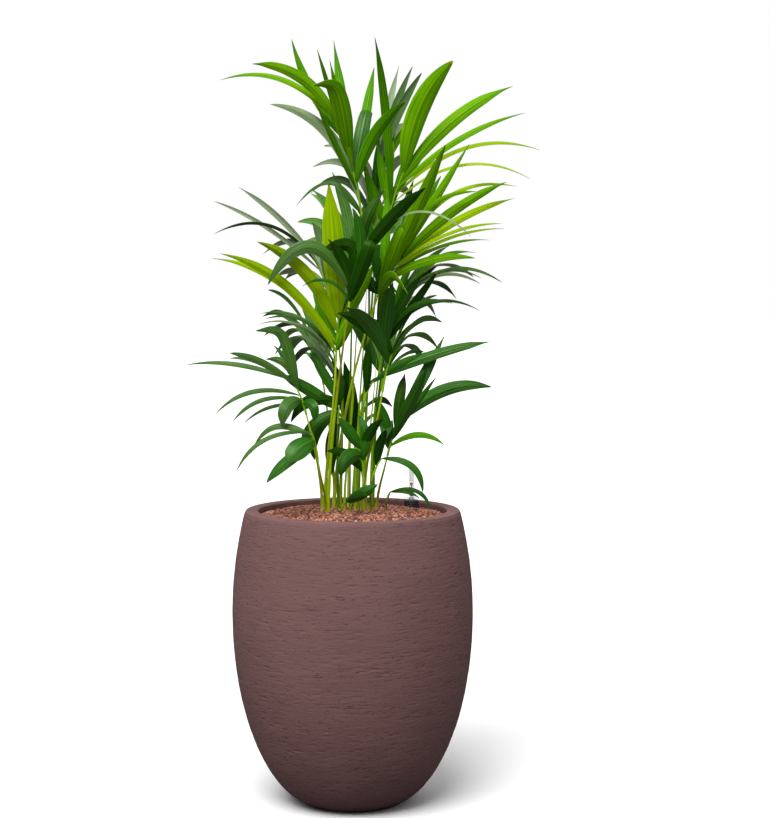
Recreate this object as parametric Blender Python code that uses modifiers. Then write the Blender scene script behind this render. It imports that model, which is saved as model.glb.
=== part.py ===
"""A kentia palm, grown as a clump of slender stems, in a round planter filled with clay granules.

Units are metres, with +Z up. The origin is the centre of the planter's underside, and the front,
the side that the views from -Y show, is the face of the clump.
"""

import math

import bmesh
import bpy
from mathutils import Vector
from mathutils.bvhtree import BVHTree

# The planter
PLANTER_HEIGHT = 0.489
RIM_RADIUS = 0.178
BELLY_RADIUS = 0.200
BELLY_HEIGHT = 0.318
FOOT_RADIUS = 0.071
LIP_WIDTH = 0.022
LIP_ROUND = 0.004
WALL = 0.016
FLOOR_THICKNESS = 0.030
LOWER_BULGE = 2.05
LOWER_TUCK = 1.79
TURN_STEPS = 36

# The granules that fill it
GRANULE_RIM_HEIGHT = 0.474
GRANULE_TOP = 0.482
GRANULE_TOP_RADIUS = 0.100

# The water gauge that stands in the granules
GAUGE_PLACE = (0.100, 0.074)
COLLAR_RADIUS = 0.0128
COLLAR_HEIGHT = 0.0196
COLLAR_BEVEL = 0.003
TUBE_RADIUS = 0.0046
TUBE_TOP = 0.552
TUBE_BEVEL = 0.0015
GAUGE_STEPS = 16

# The clearance that touching pieces keep
GAP = 0.0003

# The stalks and the ribs that go on from them
STALK_TIP_RADIUS = 0.0021
RIB_TIP_RADIUS = 0.0010
STALK_SPANS = 5
RIB_SPANS = 4
FOOT_LEAN = 0.3
RIB_RISE = 0.6
RIB_NOD = 0.35
NECK = 0.004

# The leaflets
MIDRIB_STEPS = 24
FINE_STEPS = 96
FLAT_RISE = 0.08
STEEP_RISE = 0.20
ARCH_PEAK = 0.56
ARCH_WEIGHT = 1.0
FOLD_WEIGHT = 3.0
FOOT_SHARE = 0.015
SWELL = 0.72
TAPER = 0.74
RIDGE_SHARE = 0.10
THICKNESS_SHARE = 0.011
LEAST_THICKNESS = 0.0022
CLEAR_MARGIN = 0.0008
SWINGS = (0, 4, -4, 8, -8, 12, -12, 17, -17, 22, -22, 28, -28)
RISES = (1.0, 0.75, 1.3)

UP = Vector((0, 0, 1))


def fan(count, along, bearing, lean, length, width, rise, face):
    """Leaflets side by side on a rib. Each pair gives the first and the last one's value.

    along: place on the rib, from 0 to 1. bearing: degrees up from +X, seen from the front.
    lean: degrees towards the front. length: from its foot straight to its tip, in metres.
    rise: how high it arches over that line, as a share of it. width: at its widest, in metres.
    face: degrees that its upper side turns from the front up to the sky and over to the back.
    """
    values = (along, bearing, lean, length, width, rise, face)
    pairs = [value if isinstance(value, tuple) else (value, value) for value in values]
    leaflets = []
    for index in range(count):
        share = index / (count - 1) if count > 1 else 0.0
        leaflets.append([first + (last - first) * share for first, last in pairs] + [None])
    return leaflets


def folded(along, bearing, lean, length, width, face, over):
    """One leaflet that stands straight for a length and is then folded over.

    over: the bearing, the lean and the length of the part that hangs past the fold.
    """
    return [[along, bearing, lean, length, width, 0.0, face, over]]


# Each frond: its foot on the granules, its rib's beginning and end, its foot's radius, its leaflets
FRONDS = {
    "crown_left": (
        (0.008, 0.030), (0.019, 0.020, 0.955), (-0.023, 0.020, 1.126), 0.0045,
        fan(2, (0.99, 0.92), (159, 144), (-8, 14), (0.212, 0.184), (0.013, 0.020), 0.17, (45, 30))
        + fan(2, (0.84, 0.76), (117, 107), (-16, 20), (0.200, 0.171), (0.015, 0.009), (-0.06, 0.0), 20)
        + folded(0.66, 98, 24, 0.134, 0.031, 10, (195, 20, 0.046))
        + fan(2, (0.56, 0.50), (98, 102), (-22, 12), (0.240, 0.191), (0.018, 0.012), 0.0, 10)
        + folded(0.50, 79, -20, 0.131, 0.025, 0, (275, -50, 0.050))
        + fan(2, (0.46, 0.40), (80, 58), (-24, 20), (0.213, 0.164), (0.018, 0.022), (0.0, 0.11), 10)
        + fan(2, (0.34, 0.22), (116, 132), (26, -18), (0.173, 0.237), (0.011, 0.020), (0.0, 0.17), 20)
        + fan(2, (0.12, 0.06), (128, 168), (10, -20), (0.065, 0.120), (0.013, 0.008), (0.0, 0.40), 40),
    ),
    "crown_right": (
        (0.018, 0.045), (0.053, 0.060, 0.935), (0.087, 0.060, 1.050), 0.0045,
        fan(2, (0.99, 0.86), (66, 40), (14, -10), (0.202, 0.254), (0.037, 0.024), (0.11, 0.08), 10)
        + fan(2, (0.74, 0.62), (30, 18), (14, -16), (0.247, 0.274), (0.015, 0.010), (0.07, 0.15), 45)
        + fan(1, 0.50, 10, 12, 0.235, 0.009, 0.18, 60)
        + fan(2, (0.45, 0.36), (96, 100), (16, -12), (0.286, 0.118), 0.016, (0.06, 0.0), 0)
        + fan(1, 0.12, 109, 10, 0.106, 0.016, 0.0, 0),
    ),
    "crown_back": (
        (0.005, 0.065), (0.038, 0.100, 0.940), (0.040, 0.100, 1.054), 0.0042,
        fan(3, (0.98, 0.70), (65, 79), (-10, -26), (0.190, 0.251), (0.018, 0.014), 0.04, 165)
        + fan(3, (0.45, 0.12), (130, 150), (-24, -50), (0.150, 0.200), (0.016, 0.014), 0.25, 130)
        + fan(3, (0.60, 0.15), (60, 35), (-44, -64), (0.210, 0.200), 0.018, 0.20, 125),
    ),
    "right_fan": (
        (-0.032, 0.044), (0.041, 0.000, 0.840), (0.079, 0.000, 0.903), 0.0048,
        folded(0.08, 71, 24, 0.130, 0.024, 0, (300, -78, 0.050))
        + folded(0.02, 62, 44, 0.064, 0.020, 15, (302, 24, 0.050))
        + fan(2, (0.25, 0.60), (66, 58), (22, -10), (0.264, 0.253), (0.022, 0.015), 0.0, 0)
        + fan(1, 0.50, 65, 6, 0.211, 0.020, 0.0, 0)
        + fan(2, (0.99, 0.80), (36, 29), (10, -18), (0.217, 0.246), (0.018, 0.014), 0.06, 15)
        + fan(2, (0.97, 0.92), (32, 42), (-16, 18), (0.243, 0.177), (0.009, 0.010), 0.19, 55)
        + fan(3, (0.66, 0.44), (23, 20), (22, -22), (0.206, 0.202), 0.008, 0.09, 50)
        + fan(1, 0.32, 15, 12, 0.158, 0.016, 0.10, 25),
    ),
    "centre_front": (
        (-0.041, 0.000), (-0.006, -0.060, 0.825), (0.012, -0.060, 0.903), 0.0046,
        fan(1, 0.30, 176, 12, 0.137, 0.023, 0.48, 25)
        + fan(1, 0.50, 140, 8, 0.072, 0.023, 0.57, 10)
        + folded(0.38, 83, -6, 0.105, 0.026, 0, (270, -60, 0.050))
        + folded(0.05, 71, 20, 0.117, 0.025, 0, (280, -78, 0.050))
        + fan(1, 0.08, 163, 6, 0.081, 0.007, 0.26, 50)
        + fan(2, (0.98, 0.85), (47, 46), (26, -4), (0.173, 0.187), (0.022, 0.016), 0.05, 15)
        + fan(1, 0.92, 13, 30, 0.207, 0.008, 0.28, 70),
    ),
    "left_fan": (
        (-0.047, 0.032), (-0.027, -0.030, 0.736), (-0.022, -0.030, 0.809), 0.0046,
        fan(2, (0.15, 0.35), (139, 146), (16, -14), (0.255, 0.259), (0.017, 0.013), 0.12, 20)
        + fan(1, 0.62, 131, 18, 0.205, 0.022, 0.13, 5)
        + fan(1, 0.95, 94, 8, 0.222, 0.037, 0.0, 0)
        + fan(2, (0.20, 0.60), (66, 62), (20, -16), (0.079, 0.137), (0.018, 0.020), 0.0, 0),
    ),
    "back_left": (
        (-0.020, 0.060), (-0.028, 0.060, 0.790), (-0.062, 0.060, 0.905), 0.0042,
        fan(2, (0.98, 0.80), (137, 147), (-8, -24), (0.181, 0.242), (0.011, 0.009), 0.05, 150)
        + fan(2, (0.88, 0.60), (163, 155), (12, -30), (0.184, 0.138), (0.010, 0.012), (0.22, 0.33), 110)
        + fan(1, 0.55, 143, 6, 0.055, 0.014, 0.05, 20)
        + fan(2, (0.40, 0.20), (160, 150), (-40, -58), (0.130, 0.190), 0.017, 0.20, 115)
        + fan(2, (0.50, 0.25), (104, 112), (-36, -56), (0.150, 0.190), 0.019, 0.18, 150),
    ),
    "left_rear_low": (
        (-0.044, 0.056), (-0.026, 0.050, 0.688), (-0.033, 0.050, 0.758), 0.0038,
        fan(2, (0.98, 0.80), (157, 151), (10, -6), (0.124, 0.141), 0.009, 0.18, 60)
        + fan(1, 0.60, 156, -16, 0.154, 0.007, 0.20, 60)
        + fan(3, (0.50, 0.15), (160, 175), (-42, -64), (0.180, 0.190), 0.018, 0.24, 105),
    ),
    "left_mid": (
        (-0.050, 0.012), (-0.075, -0.050, 0.650), (-0.099, -0.050, 0.707), 0.0040,
        fan(2, (0.99, 0.88), (172, 153), (-6, 24), (0.176, 0.125), (0.011, 0.014), 0.07, 40)
        + fan(1, 0.80, 139, -8, 0.066, 0.014, 0.25, 20)
        + folded(0.66, 102, 4, 0.106, 0.019, 0, (188, 10, 0.048))
        + fan(2, (0.50, 0.35), (192, 196), (8, 24), (0.141, 0.126), (0.011, 0.009), 0.16, 45)
        + fan(1, 0.22, 198, -12, 0.106, 0.009, 0.12, 50)
        + fan(2, (0.36, 0.28), (236, 300), (36, 30), (0.066, 0.040), (0.024, 0.018), (0.30, 0.42), 20),
    ),
    "left_inner": (
        (-0.024, 0.030), (-0.024, 0.000, 0.632), (-0.021, 0.000, 0.668), 0.0040,
        fan(2, (0.60, 0.95), (148, 121), (16, -10), (0.120, 0.100), (0.022, 0.017), 0.02, 15)
        + fan(2, (0.30, 0.50), (264, 244), (-10, 12), (0.105, 0.090), 0.022, (0.10, 0.22), 10)
        + fan(1, 0.80, 86, 20, 0.061, 0.014, 0.0, 0),
    ),
    "left_low": (
        (-0.044, -0.008), (-0.056, -0.080, 0.580), (-0.066, -0.085, 0.625), 0.0036,
        fan(2, (0.98, 0.75), (207, 195), (12, -12), (0.138, 0.108), (0.010, 0.015), (0.18, 0.30), 42)
        + fan(1, 0.50, 218, 6, 0.100, 0.023, 0.06, 30)
        + fan(1, 0.65, 219, 34, 0.068, 0.036, 0.10, 25),
    ),
    "right_low": (
        (0.040, 0.015), (0.057, -0.040, 0.582), (0.079, -0.040, 0.640), 0.0040,
        fan(2, (0.98, 0.80), (21, 62), (10, -12), (0.161, 0.172), (0.022, 0.020), (0.14, 0.0), 10)
        + fan(2, (0.60, 0.40), (55, 66), (22, 32), (0.125, 0.158), (0.010, 0.020), 0.0, 5)
        + fan(1, 0.20, 2, 8, 0.090, 0.012, 0.20, 40)
        + folded(0.12, 96, -20, 0.062, 0.024, 0, (272, 48, 0.060)),
    ),
    "right_blade": (
        (0.022, 0.010), (0.019, -0.020, 0.672), (0.039, -0.020, 0.708), 0.0036,
        fan(2, (0.98, 0.75), (18, 31), (4, 24), (0.198, 0.107), (0.019, 0.014), 0.04, 25)
        + fan(1, 0.20, 88, 8, 0.089, 0.016, 0.0, 0),
    ),
    "front_drape": (
        (0.014, 0.004), (0.048, -0.090, 0.690), (0.064, -0.100, 0.752), 0.0036,
        fan(2, (0.98, 0.70), (143, 127), (20, 34), (0.117, 0.139), (0.028, 0.024), 0.12, 20),
    ),
    "right_inner": (
        (0.030, 0.030), (0.043, 0.030, 0.705), (0.058, 0.030, 0.779), 0.0040,
        fan(1, 0.75, 54, 4, 0.152, 0.015, 0.0, 0)
        + fan(2, (0.90, 0.98), (28, 14), (16, -16), (0.129, 0.169), (0.010, 0.008), 0.20, 48)
        + fan(1, 0.55, 82, 22, 0.128, 0.027, 0.05, 0)
        + folded(0.60, 90, 6, 0.130, 0.016, 10, (304, 10, 0.050)),
    ),
    "back_right": (
        (0.034, 0.058), (0.060, 0.070, 0.770), (0.089, 0.070, 0.849), 0.0040,
        fan(2, (0.98, 0.90), (6, 9), (10, -6), (0.165, 0.133), 0.009, 0.19, 55)
        + fan(2, (0.80, 0.60), (15, 45), (-20, -34), (0.153, 0.133), (0.010, 0.012), (0.19, 0.05), 60)
        + fan(3, (0.65, 0.20), (20, 8), (-42, -64), 0.195, 0.018, 0.22, 105),
    ),
    "low_front": (
        (-0.004, -0.014), (0.018, -0.062, 0.545), (0.014, -0.066, 0.597), 0.0034,
        fan(1, 0.98, 125, 6, 0.063, 0.020, 0.0, 0)
        + fan(1, 0.75, 225, 36, 0.060, 0.028, 0.30, 15)
        + fan(1, 0.80, 60, 16, 0.070, 0.018, 0.10, 0),
    ),
    "low_right": (
        (0.030, -0.012), (0.034, -0.056, 0.552), (0.048, -0.060, 0.580), 0.0032,
        fan(1, 0.98, 320, 6, 0.087, 0.014, 0.25, 40)
        + fan(1, 0.40, 75, 20, 0.070, 0.016, 0.10, 0),
    ),
    "rear_high": (
        (-0.006, 0.078), (0.000, 0.130, 0.830), (0.004, 0.160, 0.900), 0.0042,
        fan(4, (0.98, 0.30), (104, 150), (-24, -52), (0.180, 0.200), 0.020, (0.08, 0.24), 145)
        + fan(4, (0.90, 0.20), (72, 26), (-28, -52), (0.190, 0.200), 0.020, (0.08, 0.24), 145),
    ),
    "rear_left": (
        (-0.030, 0.078), (-0.050, 0.125, 0.690), (-0.065, 0.165, 0.740), 0.0040,
        fan(4, (0.98, 0.30), (128, 180), (-42, -66), (0.190, 0.200), 0.018, (0.14, 0.28), 115)
        + fan(3, (0.90, 0.20), (84, 50), (-50, -70), 0.170, 0.019, (0.14, 0.26), 135),
    ),
    "rear_right": (
        (0.018, 0.075), (0.048, 0.125, 0.680), (0.066, 0.165, 0.730), 0.0040,
        fan(4, (0.98, 0.30), (52, 0), (-42, -64), 0.190, 0.018, (0.14, 0.28), 115)
        + fan(3, (0.90, 0.20), (96, 130), (-50, -70), 0.170, 0.019, (0.14, 0.26), 135),
    ),
    "rear_low": (
        (0.000, 0.092), (0.004, 0.130, 0.580), (0.004, 0.160, 0.620), 0.0036,
        fan(3, (0.98, 0.30), (120, 185), (-52, -62), 0.140, 0.018, (0.16, 0.30), 115)
        + fan(3, (0.90, 0.20), (60, -5), (-52, -62), 0.140, 0.018, (0.16, 0.30), 115),
    ),
    "seedling_right": (
        (0.056, 0.014), (0.058, -0.015, 0.510), (0.064, -0.025, 0.522), 0.0020,
        fan(2, (0.98, 0.70), (335, 349), (4, 14), (0.072, 0.051), 0.009, (0.25, 0.12), 45),
    ),
    "seedling_front": (
        (-0.022, -0.012), (-0.016, -0.050, 0.500), (-0.010, -0.055, 0.508), 0.0020,
        fan(2, (0.98, 0.50), (31, 20), (4, 34), (0.062, 0.050), (0.020, 0.012), (0.0, 0.15), (0, 50)),
    ),
}


def material(name, colour, roughness, transmission=0.0):
    """A plain finish with the colour, roughness and clearness of one sub-part."""
    made = bpy.data.materials.new(name)
    made.use_nodes = True
    shader = made.node_tree.nodes["Principled BSDF"]
    shader.inputs["Base Color"].default_value = (*colour, 1.0)
    shader.inputs["Roughness"].default_value = roughness
    shader.inputs["Metallic"].default_value = 0.0
    shader.inputs["Transmission Weight"].default_value = transmission
    made.diffuse_color = (*colour, 1.0)
    return made


def place(obj, collection, finish):
    """Puts an object in a collection, under its own finish, shaded smooth where it is round."""
    collection.objects.link(obj)
    obj.data.materials.append(finish)
    if obj.type == "MESH":
        obj.data.shade_smooth()
        obj.data.set_sharp_from_angle(angle=math.radians(40))
    return obj


def turned(name, profile, steps, collection, finish):
    """A solid of revolution. The profile lists (radius, height), its outer side from top to bottom."""
    mesh = bpy.data.meshes.new(name)
    points = [(radius, 0.0, height) for radius, height in profile]
    edges = [(index, index + 1) for index in range(len(points) - 1)]
    mesh.from_pydata(points, edges, [])
    obj = place(bpy.data.objects.new(name, mesh), collection, finish)
    screw = obj.modifiers.new("Turn", "SCREW")
    screw.steps = steps
    screw.render_steps = steps
    screw.use_merge_vertices = True
    screw.merge_threshold = 0.0001
    return obj


def outer_radius(height):
    """The planter's outer radius: a full belly that tucks in to the foot and closes to the rim."""
    if height < BELLY_HEIGHT:
        share = 1.0 - height / BELLY_HEIGHT
        swell = (1.0 - share**LOWER_BULGE) ** (1.0 / LOWER_TUCK)
        return FOOT_RADIUS + (BELLY_RADIUS - FOOT_RADIUS) * swell
    share = (height - BELLY_HEIGHT) / (PLANTER_HEIGHT - BELLY_HEIGHT)
    return BELLY_RADIUS - (BELLY_RADIUS - RIM_RADIUS) * share**2


def inner_profile(clearance):
    """The inner wall from the floor to the granules' top, drawn in by a clearance."""
    lip_inner = RIM_RADIUS - LIP_WIDTH
    floor = FLOOR_THICKNESS + clearance
    profile = []
    for share in (0.0, 0.10, 0.35, 1.0):
        height = floor + (GRANULE_RIM_HEIGHT - floor) * share
        radius = min(outer_radius(height) - WALL, lip_inner) - clearance
        profile.append((radius, height))
    return profile


def build_planter(collection):
    """The round planter: a thick lip, a full belly and a narrow flat foot."""
    lip_inner = RIM_RADIUS - LIP_WIDTH
    lip = [
        (lip_inner, PLANTER_HEIGHT - LIP_ROUND),
        (lip_inner + LIP_ROUND, PLANTER_HEIGHT),
        (RIM_RADIUS - LIP_ROUND, PLANTER_HEIGHT),
        (RIM_RADIUS, PLANTER_HEIGHT - LIP_ROUND),
    ]
    shares = (0.90, 0.78, 0.64, 0.50, 0.36, 0.22, 0.11, 0.04, 0.0)
    outside = [(outer_radius(PLANTER_HEIGHT * share), PLANTER_HEIGHT * share) for share in shares]
    profile = [(0.0, FLOOR_THICKNESS)] + inner_profile(0.0) + lip + outside + [(0.0, 0.0)]
    clay = material("planter clay", (0.23, 0.14, 0.14), 0.75)
    return turned("planter", profile, TURN_STEPS, collection, clay)


def build_granules(collection):
    """The fill of clay granules, heaped a little in the middle, where the stems stand."""
    wall = inner_profile(GAP)
    top = [(0.0, GRANULE_TOP), (GRANULE_TOP_RADIUS, GRANULE_TOP)]
    profile = top + wall[::-1] + [(0.0, wall[0][1])]
    granules = material("clay granules", (0.42, 0.16, 0.10), 0.9)
    return turned("granule_fill", profile, TURN_STEPS, collection, granules)


def build_gauge(collection):
    """The water gauge: a dark collar on the granules with a clear tube standing on it."""
    slope = (GRANULE_TOP - GRANULE_RIM_HEIGHT) / (RIM_RADIUS - LIP_WIDTH - GRANULE_TOP_RADIUS)
    nearest = math.hypot(*GAUGE_PLACE) - COLLAR_RADIUS
    foot = GRANULE_TOP - slope * max(0.0, nearest - GRANULE_TOP_RADIUS) + GAP
    top = foot + COLLAR_HEIGHT
    collar_profile = [
        (0.0, top),
        (COLLAR_RADIUS - COLLAR_BEVEL, top),
        (COLLAR_RADIUS, top - COLLAR_BEVEL),
        (COLLAR_RADIUS, foot),
        (0.0, foot),
    ]
    tube_profile = [
        (0.0, TUBE_TOP),
        (TUBE_RADIUS - TUBE_BEVEL, TUBE_TOP),
        (TUBE_RADIUS, TUBE_TOP - TUBE_BEVEL),
        (TUBE_RADIUS, top + GAP),
        (0.0, top + GAP),
    ]
    dark = material("gauge collar", (0.03, 0.03, 0.035), 0.4)
    clear = material("gauge tube", (0.9, 0.9, 0.9), 0.1, transmission=0.8)
    collar = turned("gauge_collar", collar_profile, GAUGE_STEPS, collection, dark)
    tube = turned("gauge_tube", tube_profile, GAUGE_STEPS, collection, clear)
    for piece in (collar, tube):
        piece.location = (*GAUGE_PLACE, 0.0)
    return [collar, tube]


def curve_points(start, start_pull, end, end_pull, spans):
    """Points of a smooth curve that leaves one end and meets the other along their pulls."""
    points = []
    for step in range(spans + 1):
        t = step / spans
        points.append(
            start * (2 * t**3 - 3 * t**2 + 1)
            + start_pull * (t**3 - 2 * t**2 + t)
            + end * (3 * t**2 - 2 * t**3)
            + end_pull * (t**3 - t**2)
        )
    return points


def rib_heading(crown, end):
    """The direction in which a rib sets out: steeper than the straight line to its end."""
    return ((end - crown).normalized() + UP * RIB_RISE).normalized()


def stalk_points(foot, crown, end):
    """The line of a stalk: upright out of the granules, then bent to its rib's direction."""
    start = Vector((foot[0], foot[1], GRANULE_TOP + GAP))
    ankle = start + UP * NECK
    heading = rib_heading(crown, end)
    finish = crown - heading * GAP
    neck = finish - heading * NECK
    span = (neck - ankle).length
    setting_out = UP * span + Vector((neck.x - ankle.x, neck.y - ankle.y, 0.0)) * FOOT_LEAN
    bend = curve_points(ankle, setting_out, neck, heading * span, STALK_SPANS)
    return [start] + bend + [finish]


def rib_points(crown, end):
    """The line of the rib that carries the leaflets: a straight neck, then an arch that nods."""
    heading = rib_heading(crown, end)
    neck = crown + heading * NECK
    chord = end - neck
    arriving = (chord.normalized() - UP * RIB_NOD).normalized() * chord.length
    return [crown] + curve_points(neck, heading * chord.length, end, arriving, RIB_SPANS)


def direction(bearing, lean):
    """The unit vector at a bearing seen from the front and a lean towards the front, in degrees."""
    turn, out = math.radians(bearing), math.radians(lean)
    return Vector((math.cos(turn) * math.cos(out), -math.sin(out), math.sin(turn) * math.cos(out)))


def midrib(start, leaflet, swing, rise_share):
    """The line of a leaflet's midrib, an arch or a fold, as points at equal steps along it."""
    _, bearing, lean, length, _, rise, _, over = leaflet
    heading = direction(bearing, lean + swing)
    if over:
        corner = start + heading * length
        tip = corner + direction(over[0], over[1] + swing) * over[2]
        weight = FOLD_WEIGHT
    else:
        lift = (UP - heading * heading.z).normalized()
        corner = start + heading * (length * ARCH_PEAK) + lift * (2 * rise * rise_share * length)
        tip = start + heading * length
        weight = ARCH_WEIGHT
    fine = []
    for step in range(FINE_STEPS + 1):
        t = step / FINE_STEPS
        shares = ((1 - t) ** 2, 2 * weight * t * (1 - t), t**2)
        fine.append((start * shares[0] + corner * shares[1] + tip * shares[2]) / sum(shares))
    return even_steps(fine, MIDRIB_STEPS)


def even_steps(line, count):
    """The points at equal distances along a line of finer points."""
    reached = [0.0]
    for before, after in zip(line, line[1:]):
        reached.append(reached[-1] + (after - before).length)
    points = [line[0]]
    index = 0
    for step in range(1, count):
        wanted = reached[-1] * step / count
        while reached[index + 1] < wanted:
            index += 1
        share = (wanted - reached[index]) / (reached[index + 1] - reached[index])
        points.append(line[index].lerp(line[index + 1], share))
    return points + [line[-1]]


def outline(share):
    """A leaflet's width along its length, as a share of its widest: a lance with a long point."""
    def lance(place):
        return (place + FOOT_SHARE) ** SWELL * (1.0 - place) ** TAPER

    return lance(share) / lance((SWELL - TAPER * FOOT_SHARE) / (SWELL + TAPER))


def kept_steps(leaflet):
    """The steps of a midrib that get a section: more where it bends further."""
    _, _, _, length, _, rise, _, over = leaflet
    if over:
        fold = round(MIDRIB_STEPS * length / (length + over[2]))
        return [0, fold // 2, fold - 3, fold, fold + 2, (fold + 2 + MIDRIB_STEPS) // 2]
    spans = 4 if abs(rise) < FLAT_RISE else 5 if rise < STEEP_RISE else 6
    return [round(MIDRIB_STEPS * index / spans) for index in range(spans)]


def blade_rings(points, leaflet, grow=0.0):
    """Three-cornered sections along a leaflet's midrib, with a ridge on top, and the tip's point."""
    _, _, _, _, width, _, face, _ = leaflet
    turn = math.radians(face)
    facing = Vector((0.0, -math.cos(turn), math.sin(turn)))
    length = (points[1] - points[0]).length * MIDRIB_STEPS
    thickness = max(LEAST_THICKNESS, THICKNESS_SHARE * length)
    kept = kept_steps(leaflet)
    across = (points[1] - points[0]).cross(facing).normalized()
    rings = []
    for index in range(MIDRIB_STEPS):
        along = (points[index + 1] - points[max(index - 1, 0)]).normalized()
        across = (across - along * across.dot(along)).normalized()
        if index not in kept:
            continue
        upper = across.cross(along).normalized()
        half = 0.5 * width * outline(index / MIDRIB_STEPS)
        ridge = thickness + RIDGE_SHARE * 2 * half
        under = points[index] - upper * grow
        rings.append([
            under - across * (half + grow),
            under + across * (half + grow),
            points[index] + upper * (ridge + grow),
        ])
    return rings, points[-1]


def tube_rings(points, first, last, sides=6):
    """Round sections along a line, tapering from one radius to another, and the end's point."""
    rings = []
    side = Vector((1.0, 0.0, 0.0))
    for index, middle in enumerate(points):
        after = points[min(index + 1, len(points) - 1)]
        before = points[max(index - 1, 0)]
        along = (after - before).normalized()
        side = (side - along * side.dot(along)).normalized()
        other = along.cross(side)
        radius = first + (last - first) * index / (len(points) - 1)
        ring = []
        for corner in range(sides):
            turn = 2 * math.pi * corner / sides
            ring.append(middle + (side * math.cos(turn) + other * math.sin(turn)) * radius)
        rings.append(ring)
    return rings, points[-1]


def skin(rings, tip):
    """Corners and faces of a closed skin over sections that ends in a point."""
    sides = len(rings[0])
    corners = [corner for ring in rings for corner in ring] + [tip]
    faces = [tuple(range(sides))[::-1]]
    for row in range(len(rings) - 1):
        for side in range(sides):
            low, low_next = row * sides + side, row * sides + (side + 1) % sides
            faces.append((low, low_next, low_next + sides))
            faces.append((low, low_next + sides, low + sides))
    last = (len(rings) - 1) * sides
    for side in range(sides):
        faces.append((last + side, last + (side + 1) % sides, len(corners) - 1))
    return corners, faces


def tube(name, points, first, last, roundness, collection, finish):
    """A round tapering limb, as a curve with a bevel and filled ends."""
    curve = bpy.data.curves.new(name, "CURVE")
    curve.dimensions = "3D"
    curve.bevel_depth = 1.0
    curve.bevel_resolution = roundness
    curve.use_fill_caps = True
    spline = curve.splines.new("POLY")
    spline.points.add(len(points) - 1)
    for index, point in enumerate(points):
        spline.points[index].co = (*point, 1.0)
        spline.points[index].radius = first + (last - first) * index / (len(points) - 1)
    return place(bpy.data.objects.new(name, curve), collection, finish)


def weld(mesh):
    """Merges points that lie on each other."""
    shape = bmesh.new()
    shape.from_mesh(mesh)
    bmesh.ops.remove_doubles(shape, verts=shape.verts, dist=0.00001)
    shape.to_mesh(mesh)
    shape.free()


def to_mesh(curve_object, collection, finish):
    """The same limb as a mesh with its caps welded, so that leaflets can be joined to it."""
    graph = bpy.context.evaluated_depsgraph_get()
    mesh = bpy.data.meshes.new_from_object(curve_object.evaluated_get(graph))
    weld(mesh)
    mesh.materials.clear()
    name = curve_object.name
    curve_data = curve_object.data
    bpy.data.objects.remove(curve_object)
    bpy.data.curves.remove(curve_data)
    mesh.name = name
    return place(bpy.data.objects.new(name, mesh), collection, finish)


def fitted_leaflet(start, leaflet, frond, placed):
    """A leaflet's sections, swung or lifted until it clears the other limbs, or None."""
    for rise_share in RISES:
        for swing in SWINGS:
            points = midrib(start, leaflet, swing, rise_share)
            tree = BVHTree.FromPolygons(*skin(*blade_rings(points, leaflet, CLEAR_MARGIN)))
            if not any(owner != frond and tree.overlap(other) for owner, other in placed):
                return blade_rings(points, leaflet)
    return None


def union(target, pieces):
    """Joins the leaflets to their rib in one Boolean, then removes them."""
    joined = bpy.data.collections.new("Leaflets to join")
    for piece in pieces:
        joined.objects.link(piece)
    join = target.modifiers.new("Join leaflets", "BOOLEAN")
    join.operation = "UNION"
    join.operand_type = "COLLECTION"
    join.collection = joined
    graph = bpy.context.evaluated_depsgraph_get()
    mesh = bpy.data.meshes.new_from_object(target.evaluated_get(graph))
    target.modifiers.clear()
    target.data = mesh
    for piece in pieces:
        bpy.data.objects.remove(piece)
    bpy.data.collections.remove(joined)


def build_fronds(collection, obstacles):
    """All stalks and ribs first, then the leaflets, which keep clear of every other limb."""
    placed = list(obstacles)
    lines = {}
    for name, (foot, crown, end, radius, _) in FRONDS.items():
        crown, end = Vector(crown), Vector(end)
        points = stalk_points(foot, crown, end)
        finish = material(f"{name} stalk", (0.22, 0.34, 0.03), 0.45)
        tube(f"stalk_{name}", points, radius, STALK_TIP_RADIUS, 1, collection, finish)
        stalk_skin = skin(*tube_rings(points, radius, STALK_TIP_RADIUS))
        placed.append((f"stalk_{name}", BVHTree.FromPolygons(*stalk_skin)))
        lines[name] = rib_points(crown, end)
        rib_skin = skin(*tube_rings(lines[name], STALK_TIP_RADIUS, RIB_TIP_RADIUS))
        placed.append((name, BVHTree.FromPolygons(*rib_skin)))
    for name, (_, _, _, _, leaflets) in FRONDS.items():
        finish = material(f"{name} blade", (0.10, 0.30, 0.02), 0.45)
        line = lines[name]
        rib = tube(f"frond_{name}", line, STALK_TIP_RADIUS, RIB_TIP_RADIUS, 0, collection, finish)
        rib = to_mesh(rib, collection, finish)
        pieces = []
        for leaflet in leaflets:
            span = min(int(leaflet[0] * RIB_SPANS), RIB_SPANS - 1)
            start = line[span + 1].lerp(line[span + 2], leaflet[0] * RIB_SPANS - span)
            rings = fitted_leaflet(start, leaflet, name, placed)
            if rings is None:
                continue
            corners, faces = skin(*rings)
            placed.append((name, BVHTree.FromPolygons(corners, faces)))
            mesh = bpy.data.meshes.new(f"{name} leaflet")
            mesh.from_pydata(corners, [], faces)
            pieces.append(bpy.data.objects.new(f"{name} leaflet", mesh))
        union(rib, pieces)


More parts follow.
